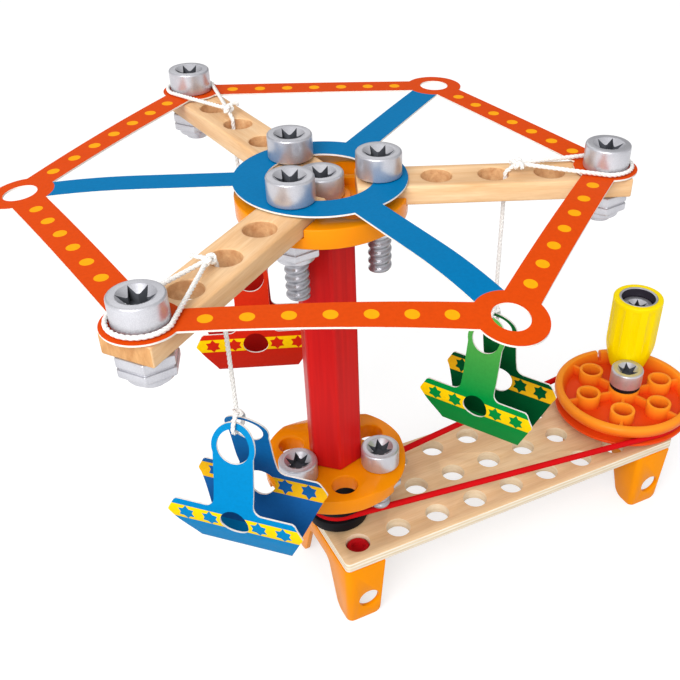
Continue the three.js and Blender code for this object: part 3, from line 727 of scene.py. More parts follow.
nut = lathe("nut", silver, [
    (0, -nut_body), (nut_corner, -nut_body, nut_foot_round),
    (nut_corner, -nut_groove_bottom, nut_groove_edge),
    (nut_corner - nut_groove, -nut_groove_bottom), (nut_corner - nut_groove, -nut_groove_top),
    (nut_corner, -nut_groove_top, nut_groove_edge), (nut_corner, 0, nut_top_round), (0, 0),
], sides=6)
flange_top = -nut_body + moulded_edge
flange = lathe("flange", silver, [
    (0, -nut_height), (nut_flange, -nut_height, nut_flange_edge), (nut_flange, flange_top), (0, flange_top),
])
shaped(nut, flange, "UNION")
shaped(nut, rod("nut_bore", silver, nut_bore, -nut_height - overrun, overrun))
softened(nut, nut_softness, angle=42)
for packed, body, turn in (
    *[(f"lower_nut_{i + 1}", "carousel", lower_hub_angle + 120 * i) for i in range(3)],
    *[
        (place + "_nut_" + colour, "carousel", arm_angle + 30 + 120 * i)
        for place in ("hub", "tip") for i, colour in enumerate(colours)
    ],
    ("crank_nut", "base", 30),
):
    spot = middle(packed)
    hexagon = placed(nut, "hex_" + packed, (spot.x, spot.y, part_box(packed)[1].z), turn)
    dressed(hexagon, body, "silver_plastic", packed)
bpy.data.objects.remove(nut)

# Washers, spacers and the small pulley
# Black rubber and plastic rings that keep the turning pieces off the board, and the small grooved
# pulley under the carousel. Each is turned, with its rims slightly rounded.

ring_inner = hole_diameter / 2
ring_rounding = 0.0005
pulley_shoulder = 0.0008
belt_height = 0.0576
belt_thickness = 0.0037
groove_half = 0.0025
bed_half = 0.002
small_radius = 0.014
pulley_radius = 0.0165
pulley_low, pulley_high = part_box("small_pulley")

black = plastic(
    "black_rubber_ring", linear(26, 25, 28), roughness=0.5, change=0.2, grain=2500, depth=0.00004
)
for packed, body, width in (
    ("axle_washer", "carousel", 0.022),
    ("pulley_spacer", "carousel", 0.019),
    ("crank_spacer", "base", 0.022),
    ("rubber_washer", "base", 0.019),
):
    low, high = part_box(packed)
    spot = middle(packed)
    rounding = min(ring_rounding, (high.z - low.z) / 4)
    washer = lathe("round_" + packed, black, [
        (ring_inner, low.z), (width / 2, low.z, rounding), (width / 2, high.z, rounding),
        (ring_inner, high.z), (ring_inner, low.z),
    ])
    dressed(moved(washer, (spot.x, spot.y, 0)), body, "black_rubber", packed)

pulley = lathe("pulley", black, [
    (ring_inner, pulley_low.z), (pulley_radius, pulley_low.z, ring_rounding),
    (pulley_radius, belt_height - groove_half, ring_rounding),
    (small_radius - bed_half, belt_height - bed_half), (small_radius - bed_half, belt_height + bed_half),
    (pulley_radius, belt_height + groove_half, ring_rounding),
    (pulley_radius, pulley_high.z, pulley_shoulder),
    (ring_inner, pulley_high.z), (ring_inner, pulley_low.z),
])
dressed(moved(pulley, (axle.x, axle.y, 0)), "carousel", "black_rubber", "small_pulley")

# Hubs
# Two glossy orange discs, the lower one upside down. One face has three channels for the arms and
# a low boss between them. Only the lower hub is bevelled behind each channel.

hub_radius = 0.0375
hub_thickness = 0.009
channel_floor = 0.005
channel_half = 0.01105
boss_radius = 0.01255
boss_face = 0.0066
bevel_run = 0.0085
bevel_drop = 0.0042
bevel_end = bevel_drop * (1 + overrun / bevel_run)
boss_foot = 0.001
hub_softness = 0.0006
channel_softness = 0.00008


def turned(piece, angle):
    """Turns a piece about the upright axis, and settles it."""
    return moved(piece, (0, 0, 0), angle)


hub_orange = plastic("hub_orange", linear(250, 146, 6), roughness=0.22, specular=0.12)
top_hub_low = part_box("top_hub")[0].z
lower_hub_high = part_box("lower_hub")[1].z
for packed, height, hub_turn, upside_down in (
    ("top_hub", top_hub_low, arm_angle, False), ("lower_hub", lower_hub_high, lower_hub_angle, True)
):
    hub = rod("disc_" + packed, hub_orange, 2 * hub_radius, 0, hub_thickness, sides=96)
    for i in range(3 if upside_down else 0):
        wedge = prism("wedge", hub_orange, [
            (hub_radius - bevel_run, -hub_radius, 0),
            (hub_radius + overrun, -hub_radius, -overrun),
            (hub_radius + overrun, -hub_radius, bevel_end),
        ], (0, 2 * hub_radius, 0))
        shaped(hub, turned(wedge, 120 * i))
    for i in range(6):
        spot = around(hole_pitch, 60 * i)
        shaped(hub, rod("hub_hole", hub_orange, hole_diameter, -overrun, hub_thickness + overrun, *spot))
    softened(hub, hub_softness, segments=3)
    for i in range(3):
        channel = block(
            "channel", hub_orange, (0, -channel_half, channel_floor),
            (hub_radius + overrun, channel_half, hub_thickness + overrun),
        )
        shaped(hub, turned(channel, 120 * i))
    shaped(hub, rod("middle_cut", hub_orange, 2 * boss_radius, channel_floor, hub_thickness + overrun))
    shaped(hub, rod("boss", hub_orange, 2 * boss_radius, boss_foot, boss_face), "UNION")
    shaped(hub, rod("centre_hole", hub_orange, hole_diameter, -overrun, hub_thickness + overrun))
    softened(hub, channel_softness, segments=1)
    moved(hub, (axle.x, 0, height), hub_turn, upside_down)
    dressed(hub, "carousel", "orange_plastic", packed)

# Column
# A six sided wooden bar painted red, its long edges softly rounded, with a screw hole in each end.
# The satin paint lets a little of the grain show along the bar.

column_low, column_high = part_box("column")
column_flat = 0.0255
column_corner = column_flat / 2 / cos(pi / 6)
column_height = column_high.z - column_low.z
column_softness = 0.0011
column_hole_depth = 0.034


def painted_wood():
    """Satin red paint over wood, with the grain faint beneath it."""
    material, tree, shader = new_material("red_paint", 0.38, specular=0.14)
    streaks = pattern(tree, (300, 300, 12), Detail=4)
    shade = ramp(tree, streaks, (0.3, linear(194, 18, 21)), (0.7, linear(216, 28, 25)))
    tree.links.new(shade, shader.inputs["Base Color"])
    brushed = pattern(tree, (900, 900, 40), Detail=3)
    tree.links.new(mapped(tree, brushed, To_Min=0.3, To_Max=0.48), shader.inputs["Roughness"])
    bumped(tree, shader, streaks, 0.3, 0.00006)
    return material


paint = painted_wood()
bar = lathe("hex_column", paint, [
    (0, 0), (column_corner, 0), (column_corner, column_height), (0, column_height),
], sides=6)
for low in (-overrun, column_height - column_hole_depth):
    shaped(bar, rod("screw_hole", paint, nut_bore, low, low + column_hole_depth + overrun))
softened(bar, column_softness, segments=3)
dressed(moved(bar, (axle.x, 0, column_low.z), lower_hub_angle), "carousel", "red_paint", "column")

# Arms
# Three beech bars with rounded edges and five bolt holes each, laid in the top hub's channels.
# The grain runs along each bar, the cut ends show it end on, and the drilled walls are darker.

arm_inner = 0.01505
arm_outer = 0.135
arm_half = 0.01075
arm_holes = 5
arm_softness = 0.0008
grain_shift = 0.31
end_gap = 1e-5
arm_low, arm_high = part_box("arm_green")
arm_thickness = arm_high.z - arm_low.z


def marked(piece, shift=0):
    """Keeps a piece's own coordinates on its mesh, for patterns that go with it."""
    spots = piece.data.attributes.new("local", "FLOAT_VECTOR", "POINT")
    for vertex, spot in zip(piece.data.vertices, spots.data):
        spot.vector = vertex.co + Vector((shift, 0, shift))
    return piece


beech = wood("beech", linear(226, 176, 122), linear(246, 210, 165), (14, 190, 190), "local", roughness=0.45)
beech_end = wood("beech_end", linear(196, 138, 82), linear(228, 178, 120), (240, 300, 90), "local")
drilled = wood("drilled_beech", linear(196, 140, 92), linear(232, 188, 138), (300, 300, 300), "local")
for i, colour in enumerate(colours):
    arm = block("arm_beam_" + colour, beech, (arm_inner, -arm_half, 0), (arm_outer, arm_half, arm_thickness))
    arm.data.materials.append(beech_end)
    for hole in range(arm_holes):
        reach = hole_pitch * (hole + 1)
        shaped(arm, rod("arm_hole", drilled, hole_diameter, -overrun, arm_thickness + overrun, reach))
    softened(arm, arm_softness, segments=3)
    for face in arm.data.polygons:
        from_ends = abs(face.center.x - arm_inner) * abs(face.center.x - arm_outer)
        if abs(face.normal.x) > 0.95 and from_ends < end_gap:
            face.material_index = 1
    marked(arm, grain_shift * i)
    moved(arm, (axle.x, 0, arm_low.z), arm_angle + 120 * i)
    dressed(arm, "carousel", "beech", "arm_" + colour)

# Card frame
# One sheet of stiff card, printed and die cut: a centre ring, three spokes, a hexagon of six strips
# and a lobe at each corner. The three corners that no arm carries hang down a little.

card_low, card_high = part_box("card_frame")
card_reach = 0.125
apothem = card_reach * cos(radians(30))
card_strip = 0.014
card_spoke = 0.0135
spoke_start = 0.01
card_lobe = 0.028
card_underside = 0.00025
card_thickness = 0.001
ring_hole = 0.0143
sag_start = 0.0765
corner_sags = ((60, 0.25), (180, 1.3), (300, 2.15))
dot_spacing = 0.0139
dot_radius = 0.00265
dot_row_half = 3.5 * dot_spacing
blue_spoke_half = 0.007
blue_ring = 0.038
sheet_half = 0.01
sheet_step = 0.0005
sag_step = 0.006
sag_cuts = 11


def calc(tree, operation, *values):
    """One step of arithmetic on sockets or plain numbers."""
    step = node(tree, "Math", operation=operation)
    for slot, value in enumerate(values):
        if isinstance(value, bpy.types.NodeSocket):
            tree.links.new(value, step.inputs[slot])
        else:
            step.inputs[slot].default_value = value
    return step.outputs[0]


def below(tree, value, limit, softness=0.00012):
    """One where a value is under a limit and nought above it, with a soft edge."""
    return mapped(tree, value, From_Min=limit + softness, From_Max=limit - softness)


def distance(tree, x, y):
    """How far a place is from the origin."""
    return calc(tree, "SQRT", calc(tree, "ADD", calc(tree, "MULTIPLY", x, x), calc(tree, "MULTIPLY", y, y)))


def folded_polar(tree, x, y, sector):
    """How far a place is from the centre, and how far along and across the middle of its own sector."""
    reach = distance(tree, x, y)
    angle = calc(tree, "ADD", calc(tree, "ARCTAN2", y, x), 2 * pi)
    turn = calc(tree, "SUBTRACT", calc(tree, "MODULO", angle, sector), sector / 2)
    along = calc(tree, "MULTIPLY", reach, calc(tree, "COSINE", turn))
    across = calc(tree, "ABSOLUTE", calc(tree, "MULTIPLY", reach, calc(tree, "SINE", turn)))
    return reach, along, across


def printed(name):
    """A matt printed card's material, its fibres and its place coordinates in x, y and z."""
    material, tree, shader = new_material(name, 0.5, specular=0.03)
    fibres = pattern(tree, 700, "local", Detail=4)
    bumped(tree, shader, fibres, 0.15, 0.00003)
    return material, tree, shader, fibres, coordinates(tree, "local")


def inked(tree, shader, fibres, colour):
    """Lays a print on card, a little uneven where the fibres take less ink."""
    uneven = ramp(tree, fibres, (0.3, (0.93, 0.93, 0.93, 1)), (0.6, white))
    tree.links.new(times(tree, colour, uneven), shader.inputs["Base Color"])


def frame_print():
    """The frame's print: red with a row of yellow dots on each strip, and a blue ring and spokes."""
    material, tree, shader, fibres, (x, y, _) = printed("frame_print")
    _, out, across = folded_polar(tree, x, y, radians(60))
    number = calc(tree, "ROUND", calc(tree, "DIVIDE", across, dot_spacing))
    beside = calc(tree, "SUBTRACT", across, calc(tree, "MULTIPLY", number, dot_spacing))
    from_dot = distance(tree, beside, calc(tree, "SUBTRACT", out, apothem))
    dots = calc(tree, "MULTIPLY", below(tree, from_dot, dot_radius), below(tree, across, dot_row_half))
    reach, out, across = folded_polar(tree, x, y, radians(120))
    from_lobe = distance(tree, calc(tree, "SUBTRACT", out, card_reach), across)
    blue = calc(tree, "MAXIMUM", below(tree, across, blue_spoke_half), below(tree, reach, blue_ring))
    off_lobe = calc(tree, "SUBTRACT", 1, below(tree, from_lobe, card_lobe / 2))
    blue_part = calc(tree, "MULTIPLY", blue, off_lobe)
    with_dots = mixed(tree, dots, linear(214, 72, 10), linear(246, 166, 12))
    inked(tree, shader, fibres, mixed(tree, blue_part, with_dots, linear(0, 114, 170)))
    return material


card_edge = wood(
    "card_edge", linear(238, 234, 226), linear(252, 250, 246), (300, 300, 2000), roughness=0.8
)
sheet_size = card_reach + card_lobe
card = rod("frame_card", card_edge, 2 * hub_radius, -sheet_half, sheet_half, sides=96)
spare = sheet_half
for i in range(6):
    spare += sheet_step
    strip = block(
        "strip", card_edge, (apothem - card_strip / 2, -card_reach / 2, -spare),
        (apothem + card_strip / 2, card_reach / 2, spare),
    )
    shaped(card, turned(strip, 60 * i + 30), "UNION")
    if i % 2:
        spare += sheet_step
        spoke = block(
            "spoke", card_edge, (spoke_start, -card_spoke / 2, -spare), (card_reach, card_spoke / 2, spare)
        )
        shaped(card, turned(spoke, 60 * i), "UNION")
    spare += sheet_step
    spot = around(card_reach, 60 * i)
    shaped(card, rod("lobe", card_edge, card_lobe, -spare, spare, *spot, sides=64), "UNION")
shaped(card, rod("opening", card_edge, 2 * (hub_radius - card_strip), -2 * spare, 2 * spare, sides=96))
for i in range(6):
    cuts = [(card_reach, ring_hole if i % 2 else hole_diameter)]
    if i % 2 == 0:
        cuts.append((hole_pitch, hole_diameter))
    for reach, width in cuts:
        shaped(card, rod("card_hole", card_edge, width, -2 * spare, 2 * spare, *around(reach, 60 * i)))
shaped(card, block(
    "card_sheet", frame_print(), (-sheet_size, -sheet_size, card_underside),
    (sheet_size, sheet_size, card_thickness),
), "INTERSECT")
marked(card)
for turn, sag_rate in corner_sags:
    way = Vector((*around(1, turn), 0))
    for k in range(sag_cuts):
        opened(card)
        bpy.ops.mesh.bisect(plane_co=way * (sag_start + sag_step * k), plane_no=way)
        shut()
    for vertex in card.data.vertices:
        past = max(vertex.co.xy.dot(way.xy) - sag_start, 0)
        vertex.co.z -= sag_rate * past * past
shaded(card)
dressed(moved(card, (axle.x, 0, card_low.z), arm_angle), "carousel", "printed_card", "card_frame")

# Cords
# White twisted cord of three strands. On each arm it is tied round the tip bolt's head, knotted, led
# over the edge of the arm's third hole, and hangs down to a gondola, where a loop holds it.

cord_thickness = 0.002
strand_radius = 0.00055
strand_offset = 0.00045
cord_twist = 0.0065
tip_reach = 0.125
arm_knot_reach = 0.085
arm_knot_rise = 0.0042
arm_knot_size = 0.0010
head_loop_slack = 0.0005
head_loop = bolt_head + cord_thickness / 2 + head_loop_slack
card_clearance = 0.0003
loop_height = card_high.z + cord_thickness / 2 + card_clearance
loop_angle = 240
loop_points = 9
drop_reach = 0.08045
drop_rise = 0.0008
drop_points = ((0.002, 0.002), (0, 0.0003), (0, -0.002), (0, drop_rise - arm_thickness))
tail_points = ((0.0015, -0.0035, 0.0012), (0.001, -0.0065, 0.0006))
route_step = 0.002
twist_points = 10
knot_points = 60


def smoothed(points, steps):
    """A smooth line through points, each stretch in a number of steps."""
    points = [Vector(point) for point in points]
    ends = [2 * points[0] - points[1], *points, 2 * points[-1] - points[-2]]
    line = []
    for a, b, c, d in zip(ends, ends[1:], ends[2:], ends[3:]):
        for k in range(steps):
            t = k / steps
            line.append(0.5 * (
                2 * b + (c - a) * t + (2 * a - 5 * b + 4 * c - d) * t ** 2 + (3 * b - a - 3 * c + d) * t ** 3
            ))
    return [*line, points[-1]]


def evened(line, step):
    """The same line with its points a set step apart."""
    lengths = [0]
    for a, b in zip(line, line[1:]):
        lengths.append(lengths[-1] + (b - a).length)
    count = max(2, round(lengths[-1] / step))
    even = []
    at = 0
    for k in range(count + 1):
        target = lengths[-1] * k / count
        while at < len(line) - 2 and lengths[at + 1] < target:
            at += 1
        share = (target - lengths[at]) / max(lengths[at + 1] - lengths[at], 1e-9)
        even.append(line[at].lerp(line[at + 1], min(share, 1)))
    return even


def cord_material():
    """White cotton: soft fibres, a little grey here and there."""
    material, tree, shader = new_material("white_cotton", 0.85, specular=0.15)
    fibres = pattern(tree, 2500, Detail=4)
    shade = ramp(tree, fibres, (0.3, linear(216, 212, 206)), (0.65, linear(250, 249, 246)))
    tree.links.new(shade, shader.inputs["Base Color"])
    bumped(tree, shader, fibres, 0.5, 0.00008)
    return material


cotton = cord_material()


def tube(name, material, radius, lines, resolution, ring=False):
    """A round tube along each line of points, as one piece with shut ends or as a ring."""
    curve = bpy.data.curves.new(name, "CURVE")
    curve.dimensions = "3D"
    curve.bevel_depth = radius
    curve.bevel_resolution = resolution
    curve.use_fill_caps = not ring
    for line in lines:
        spline = curve.splines.new("POLY")
        spline.points.add(len(line) - 1)
        spline.use_cyclic_u = ring
        for point, spot in zip(spline.points, line):
            point.co = (*spot, 1)
    piece = bpy.data.objects.new(name, curve)
    bpy.context.collection.objects.link(piece)
    pick(piece)
    bpy.ops.object.convert(target="MESH")
    piece = bpy.context.object
    piece.data.materials.clear()
    closed_up(piece, material)
    bpy.ops.object.shade_smooth()
    return piece


def cord_along(name, route):
    """A cord of three twisted strands that follows a route of closely set points."""
    line = evened(route, cord_twist / twist_points)
    last = len(line) - 1
    tangents = [(line[min(i + 1, last)] - line[max(i - 1, 0)]).normalized() for i in range(len(line))]
    side = tangents[0].orthogonal().normalized()
    strands = ([], [], [])
    for i, (spot, tangent) in enumerate(zip(line, tangents)):
        side = (side - tangent * side.dot(tangent)).normalized()
        for number, strand in enumerate(strands):
            turn = 2 * pi * (number / 3 + i / twist_points)
            strand.append(spot + strand_offset * (side * cos(turn) + tangent.cross(side) * sin(turn)))
    return tube(name, cotton, strand_radius, strands, resolution=1)


def knotted(centre, size):
    """The route of an overhand knot pulled into a small lump."""
    route = []
    for k in range(knot_points + 1):
        t = 2 * pi * k / knot_points
        route.append(Vector(centre) + size * Vector((
            sin(t) + 1.6 * sin(2 * t), cos(t) - 1.6 * cos(2 * t), -1.1 * sin(3 * t)
        )))
    return route


def gathered(name, *pieces):
    """Joins pieces into the first."""
    bpy.ops.object.select_all(action="DESELECT")
    for piece in pieces:
        piece.select_set(True)
    bpy.context.view_layer.objects.active = pieces[0]
    bpy.ops.object.join()
    whole = bpy.context.object
    whole.name = name
    return whole


knot_spot = Vector((arm_knot_reach, 0, arm_high.z + arm_knot_rise))
wrap = [
    (tip_reach + x, y, loop_height)
    for x, y in [around(head_loop, (k / (loop_points - 1) - 1 / 2) * loop_angle) for k in range(loop_points)]
]
drop = [(drop_reach + x, 0, arm_high.z + z) for x, z in drop_points]
loose = [knot_spot + Vector(point) for point in tail_points]
tie = gathered(
    "tie", cord_along("loop", smoothed([knot_spot, *wrap, knot_spot], 8)),
    cord_along("lump", knotted(knot_spot, arm_knot_size)),
    cord_along("down", smoothed([knot_spot, *drop], 6)),
    cord_along("tail", smoothed([knot_spot, *loose], 6)),
)
for i, colour in enumerate(colours):
    tied = placed(tie, "tied_cord_" + colour, (axle.x, 0, 0), arm_angle + 120 * i)
    dressed(tied, "carousel", "white_cord", "arm_cord_" + colour)

    hanging = "cord_drop_" + colour
    low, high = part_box(hanging)
    spot = middle(hanging)
    route = evened([Vector((spot.x, spot.y, high.z)), Vector((spot.x, spot.y, low.z))], route_step)
    fall = cord_along("hanging_cord_" + colour, route)
    dressed(fall, "drop_" + colour, "white_cord", hanging)
bpy.data.objects.remove(tie)

# Gondolas
# Each is one card folded under a narrow floor. Its two sides bulge apart at the star band and close
# at the crown, where the cord's loop runs through the hanging holes. Print is on both faces; the
# inside face is printed darker, as painted shade.

crown_drop = 0.006
ring_drop = 0.016
band_drop = 0.0534
floor_drop = 0.0752
side_spreads = ((0.0068, 0.0740), (0.0145, band_drop), (0.0106, 0.0347), (0.0067, ring_drop))
crown_spread = 0.001
card_sheet = 0.0009
hull_half = 0.0322
floor_half = 0.022
gunwale_drop = 0.0462
side_corners = (
    (0.0309, -0.0560), (0.0319, -0.0544), (hull_half, -band_drop), (0.0316, -0.0521), (0.0287, -0.0470),
    (0.0274, -gunwale_drop),
)
neck_half = 0.0093
neck_fillet = 0.004
crown_radius = 0.010
floor_fold = ((-0.0012, 0.0007), (-0.0003, 0.001))
hanging_hole = 0.0075
band_hole = 0.0068
band_half = 0.00425
star_spacing = 0.0116
star_reach = 0.0043
star_waist = 0.0028
star_softness = 1.5e-7
held_knot_size = 0.0007
cutter_half = 0.03


def gondola_print(name, shades, band_colour):
    """A gondola's print: a yellow band with four stars in the body's colour, and a lighter crown."""
    body, neck = [linear(*shade) for shade in shades]
    material, tree, shader, fibres, (x, _, z) = printed(name)
    height = calc(tree, "ADD", z, band_drop)
    beside = calc(tree, "ABSOLUTE", x)
    nearest = calc(tree, "ROUND", calc(tree, "DIVIDE", beside, star_spacing))
    number = calc(tree, "MINIMUM", calc(tree, "MAXIMUM", nearest, 1), 2)
    from_star = calc(tree, "SUBTRACT", beside, calc(tree, "MULTIPLY", number, star_spacing))
    _, out, across = folded_polar(tree, from_star, height, radians(60))
    run = star_waist * cos(radians(30)) - star_reach
    rise = star_waist * sin(radians(30))
    inwards = calc(tree, "MULTIPLY", calc(tree, "SUBTRACT", out, star_reach), rise)
    edge = calc(tree, "SUBTRACT", inwards, calc(tree, "MULTIPLY", across, run))
    star = below(tree, edge, 0, star_softness)
    band = below(tree, calc(tree, "ABSOLUTE", height), band_half)
    rising = mapped(tree, z, From_Min=-gunwale_drop, From_Max=-crown_drop)
    ground = mixed(tree, rising, body, neck)
    striped = mixed(tree, band, ground, band_colour)
    inked(tree, shader, fibres, mixed(tree, calc(tree, "MULTIPLY", star, band), striped, body))
    return material


white_edge = wood(
    "white_card_edge", linear(232, 230, 224), linear(252, 251, 248), (900, 900, 2000), roughness=0.8
)


def arc(x, z, radius, start, end, steps=8):
    """Points along an arc, as pairs, with its angles in degrees."""
    turns = [radians(start + (end - start) * k / steps) for k in range(steps + 1)]
    return [(x + radius * cos(turn), z + radius * sin(turn)) for turn in turns]


def side_outline():
    """The outline of a gondola's side, with its tips, corners and neck rounded."""
    lean = 180 / pi * asin((crown_radius ** 2 - neck_half ** 2) ** 0.5 / crown_radius)
    neck_x = neck_half + neck_fillet
    right = [
        (floor_half, -floor_drop - overrun), (floor_half, -floor_drop), *side_corners,
        *arc(neck_x, -gunwale_drop + neck_fillet, neck_fillet, -90, -180, 6),
    ]
    crown = arc(0, -ring_drop, crown_radius, -lean, 180 + lean, 24)
    left = [(-x, z) for x, z in reversed(right)]
    return [*right, *crown, *left]


flank = [(spread, -drop) for spread, drop in side_spreads] + [(crown_spread, -crown_drop + overrun)]
skin = [(p.y, p.z) for p in smoothed([(0, y, z) for y, z in flank], 8)]
fold = [(flank[0][0] + y, -floor_drop + z) for y, z in floor_fold]
half_section = [*fold, *skin]
section = [(-y, z) for y, z in reversed(half_section)] + half_section
hull = wire("hull", [(-hull_half - overrun, y, z) for y, z in section])
opened(hull)
bpy.ops.mesh.extrude_region_move(TRANSFORM_OT_translate={"value": (2 * (hull_half + overrun), 0, 0)})
bpy.ops.mesh.select_all(action="SELECT")
bpy.ops.mesh.normals_make_consistent(inside=False)
shut()
hull.data.materials.append(bpy.data.materials.new("blank_card"))
modified(hull, "SOLIDIFY", thickness=card_sheet, offset=0, use_even_offset=True)
side_cutter = prism(
    "side_cutter", white_edge, [(x, -cutter_half, z) for x, z in side_outline()], (0, 2 * cutter_half, 0)
)
for drop, radius in ((ring_drop, hanging_hole), (band_drop, band_hole)):
    bpy.ops.mesh.primitive_cylinder_add(
        vertices=hole_sides, radius=radius, depth=2 * cutter_half + overrun, location=(0, 0, -drop),
        rotation=(pi / 2, 0, 0),
    )
    shaped(side_cutter, started("side_hole", white_edge))
shaped(hull, side_cutter, "INTERSECT")
# Faces that look into the hull take the inside print, darkened as painted shade.
for face in hull.data.polygons:
    if face.material_index == 0 and face.normal.y * face.center.y < 0:
        face.material_index = 2
shaded(hull)
marked(hull)

half_tie = (
    (0, 0, -0.0028), (0, 0.0022, -0.0038), (0, 0.0041, -0.0058), (0, 0.0051, -0.0080), (0, 0.0044, -0.0100),
    (0, 0.0014, -0.0112),
)
tie_spots = [*half_tie, *[(x, -y, z) for x, y, z in reversed(half_tie)]]
gondola_loop = gathered(
    "gondola_loop", cord_along("held", smoothed(tie_spots, 6)),
    cord_along("lump", knotted(half_tie[0], held_knot_size)),
)
# Each colour has its outside print and a darker inside print; the darker colours are painted shade.
for colour, turn, outer, inside_painted_shade in (
    ("green", -59.7, ((0, 138, 58), (96, 178, 80)), ((0, 80, 40), (20, 118, 52))),
    ("red", -21.4, ((208, 38, 17), (218, 54, 22)), ((176, 22, 18), (196, 34, 20))),
    ("blue", -45.8, ((0, 128, 188), (8, 136, 196)), ((24, 90, 154), (10, 118, 186))),
):
    low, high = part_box("cord_drop_" + colour)
    spot = middle("cord_drop_" + colour)
    place = (spot.x, spot.y, low.z)
    gondola = placed(hull, "hull_" + colour, place, turn)
    gondola.data.materials[0] = gondola_print("print_" + colour, outer, linear(252, 208, 8))
    gondola.data.materials.append(gondola_print("inside_print_painted_shade_" + colour, inside_painted_shade, linear(232, 176, 24)))
    dressed(gondola, "ride_" + colour, colour + "_card", "gondola_" + colour)
    loop = placed(gondola_loop, "hanging_loop_" + colour, place, turn)
    dressed(loop, "ride_" + colour, "white_cord", "gondola_tie_" + colour)
bpy.data.objects.remove(hull)
bpy.data.objects.remove(gondola_loop)

# Drive belt
# A round red rubber belt, stretched over the small pulley and the crank wheel. It fills their
# grooves, and its finish is dull and slightly uneven.

wheel_radius = 0.0395
span = crank.x - axle.x
contact = 90 + 180 / pi * asin((wheel_radius - small_radius) / span)
belt_route = [(x + span, y) for x, y in arc(0, 0, wheel_radius, -contact, contact, 72)]
belt_route += arc(0, 0, small_radius, contact, 360 - contact, 40)
belt_red = plastic(
    "belt_rubber", linear(212, 16, 22), roughness=0.5, change=0.1, grain=1800, depth=0.00004, specular=0.05
)
belt_line = [(axle.x + x, y, belt_height) for x, y in belt_route]
belt = tube("belt", belt_red, belt_thickness / 2, [belt_line], resolution=4, ring=True)
dressed(belt, "base", "red_rubber", "drive_belt")

# Crank wheel
# An orange moulded wheel with a belt groove round its rim. Inside the rim stand six tubular bosses
# and a thicker one in the middle, tied to each other and to the rim by thin webs.

wheel_low, wheel_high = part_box("crank_wheel")
wheel_out = 0.0435
wheel_foot = 0.0425
wheel_lip = 0.0423
wheel_bed = 0.0375
wheel_floor = 0.0588
wheel_top = 0.0668
wheel_step = (0.0622, 0.0626)
foot_round = 0.0008
rim_round = 0.0022
rim_inner = 0.039
rim_inner_foot = 0.036
groove_lip = 0.0005
step_round = 0.0003
boss_top = wheel_high.z
boss_outer = 0.015
boss_inner = 0.0116
centre_boss = 0.019
centre_bore = 0.012
web_half = 0.001
web_foot_reach = 0.0365
web_top_reach = 0.0388
web_top = 0.0648
rib_foot = 0.0578
notch_turn = 26.9
notch_half = 0.00125
notch_heights = (0.0608, 0.07)
notch_start = 0.0355
wheel_softness = 0.00015


def wheel_material():
    """Orange plastic with painted shade, redder and darker down in the recess."""
    material, tree, shader = new_material("wheel_orange", 0.28, specular=0.12)
    # Painted shade: the colour darkens to red from the rim's top down to the recess floor.
    rising = mapped(tree, coordinates(tree)[2], From_Min=wheel_floor, From_Max=wheel_top)
    shade = ramp(tree, rising, (0, linear(232, 76, 20)), (1, linear(253, 150, 36)))
    slow = ramp(tree, pattern(tree, 50, Detail=2), (0.35, (0.93, 0.92, 0.9, 1)), (0.65, white))
    tree.links.new(times(tree, shade, slow), shader.inputs["Base Color"])
    bumped(tree, shader, pattern(tree, 1500, Detail=2), 0.25, 0.00002)
    return material


wheel_orange = wheel_material()
wheel = lathe("grooved_wheel", wheel_orange, [
    (0, wheel_low.z), (wheel_foot, wheel_low.z, foot_round),
    (wheel_foot, belt_height - groove_half, groove_lip), (wheel_bed, belt_height - bed_half),
    (wheel_bed, belt_height + bed_half), (wheel_lip, belt_height + groove_half, groove_lip),
    (wheel_foot, wheel_step[0]), (wheel_out, wheel_step[1], step_round), (wheel_out, wheel_top, rim_round),
    (rim_inner, wheel_top, foot_round), (rim_inner_foot, wheel_floor), (0, wheel_floor),
], sides=128, segments=5)
ribs = rod("ribs", wheel_orange, centre_boss, rib_foot, boss_top, sides=64)
for i in range(6):
    web = prism("web", wheel_orange, [
        (0, -web_half, rib_foot), (web_foot_reach, -web_half, rib_foot), (web_top_reach, -web_half, web_top),
        (0, -web_half, web_top),
    ], (0, 2 * web_half, 0))
    shaped(ribs, turned(web, 60 * i), "UNION")
for i in range(6):
    spot = around(hole_pitch, 60 * i)
    shaped(ribs, rod("boss", wheel_orange, boss_outer, rib_foot, boss_top, *spot), "UNION")
shaped(wheel, ribs, "UNION")
for i in range(7):
    spot = around(hole_pitch if i else 0, 60 * i)
    bore = boss_inner if i else centre_bore
    shaped(wheel, rod("boss_bore", wheel_orange, bore, wheel_low.z - overrun, boss_top + overrun, *spot))
notch = block(
    "notch", wheel_orange, (notch_start, -notch_half, notch_heights[0]),
    (wheel_out + overrun, notch_half, notch_heights[1]),
)
shaped(wheel, turned(notch, notch_turn))
softened(wheel, wheel_softness, segments=2, angle=50)
dressed(moved(wheel, (crank.x, crank.y, 0), wheel_turn), "crank", "wheel_plastic", "crank_wheel")
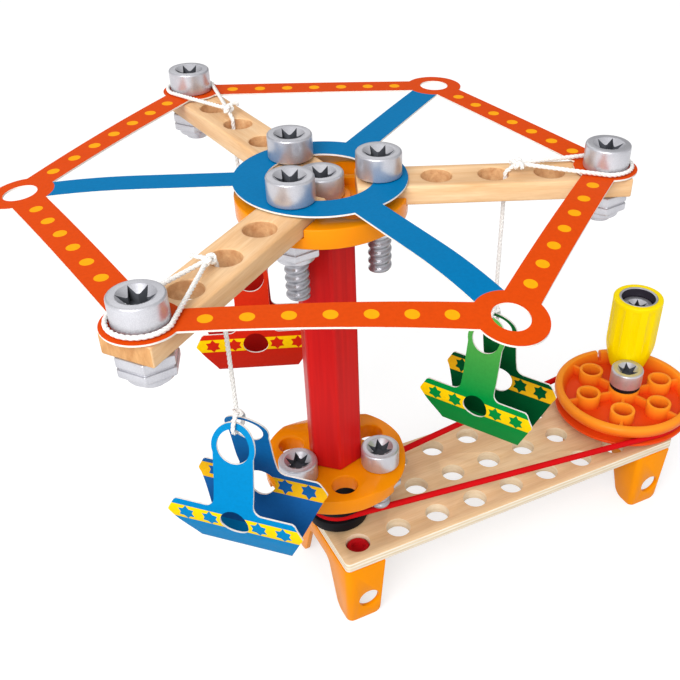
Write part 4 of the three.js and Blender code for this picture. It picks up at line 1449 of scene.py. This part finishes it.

# Grip
# A yellow fluted handle that spins on its own bolt, narrowing to a neck at its foot. A dark bush
# with a thin silver lip lines the round recess at its top, where the bolt's head lies. The bush's
# dark colour is painted shade for the dim recess.

grip_low, grip_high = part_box("grip")
grip_radius = 0.0155
grip_neck = 0.011
grip_taper = 0.016
grip_recess = 0.012
grip_recess_depth = 0.0165
grip_bore = 0.006
flute_radius = 0.0055
flute_depth = 0.0008
flutes = 10
flute_end = 0.003
waist_radius = 0.0134
waist_height = 0.0075
waist_round = 0.003
taper_round = 0.004
grip_round = 0.0012
recess_round = 0.0003
grip_softness = 0.00012
grip_height = grip_high.z - grip_low.z
recess_floor = grip_height - grip_recess_depth
grip_spot = middle("grip_bolt")

grip_yellow = plastic("grip_yellow", linear(255, 226, 0), roughness=0.25, change=0.03)
handle = lathe("handle", grip_yellow, [
    (grip_bore, 0), (grip_neck, 0, grip_round), (waist_radius, waist_height, waist_round),
    (grip_radius, grip_taper, taper_round), (grip_radius, grip_height, grip_round),
    (grip_recess, grip_height, recess_round), (grip_recess, recess_floor), (grip_bore, recess_floor),
    (grip_bore, 0),
], sides=120, segments=6)
for i in range(flutes):
    spot = around(grip_radius + flute_radius - flute_depth, 360 / flutes * i)
    shaped(handle, rod("flute", grip_yellow, 2 * flute_radius, -overrun, grip_height - flute_end, *spot))
softened(handle, grip_softness, segments=2, angle=40, smooth=22)
moved(handle, (grip_spot.x, grip_spot.y, grip_low.z), wheel_turn)
dressed(handle, "crank_grip", "yellow_plastic", "grip")

bush_bottom = -0.0150
bush_inner = 0.0105
bush_outer = 0.0119
bush_lip = -0.0006
bush_lip_inner = 0.0110
bush_top = -0.0001
silver_from = -0.0007

# Painted shade: the bush is dark grey to darken the recess.
bush_painted_shade = plastic("bush_painted_shade", linear(52, 48, 58), roughness=0.3)
bush = lathe("grip_bush", bush_painted_shade, [
    (bush_inner, bush_bottom), (bush_outer, bush_bottom), (bush_outer, bush_lip),
    (bush_outer, bush_top, recess_round), (bush_lip_inner, bush_top, recess_round), (bush_inner, bush_lip),
    (bush_inner, bush_bottom),
], sides=96)
bush.data.materials.append(silver)
for face in bush.data.polygons:
    if face.center.z > silver_from:
        face.material_index = 1
moved(bush, (grip_spot.x, grip_spot.y, grip_high.z), wheel_turn)
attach(bush, "crank_grip")
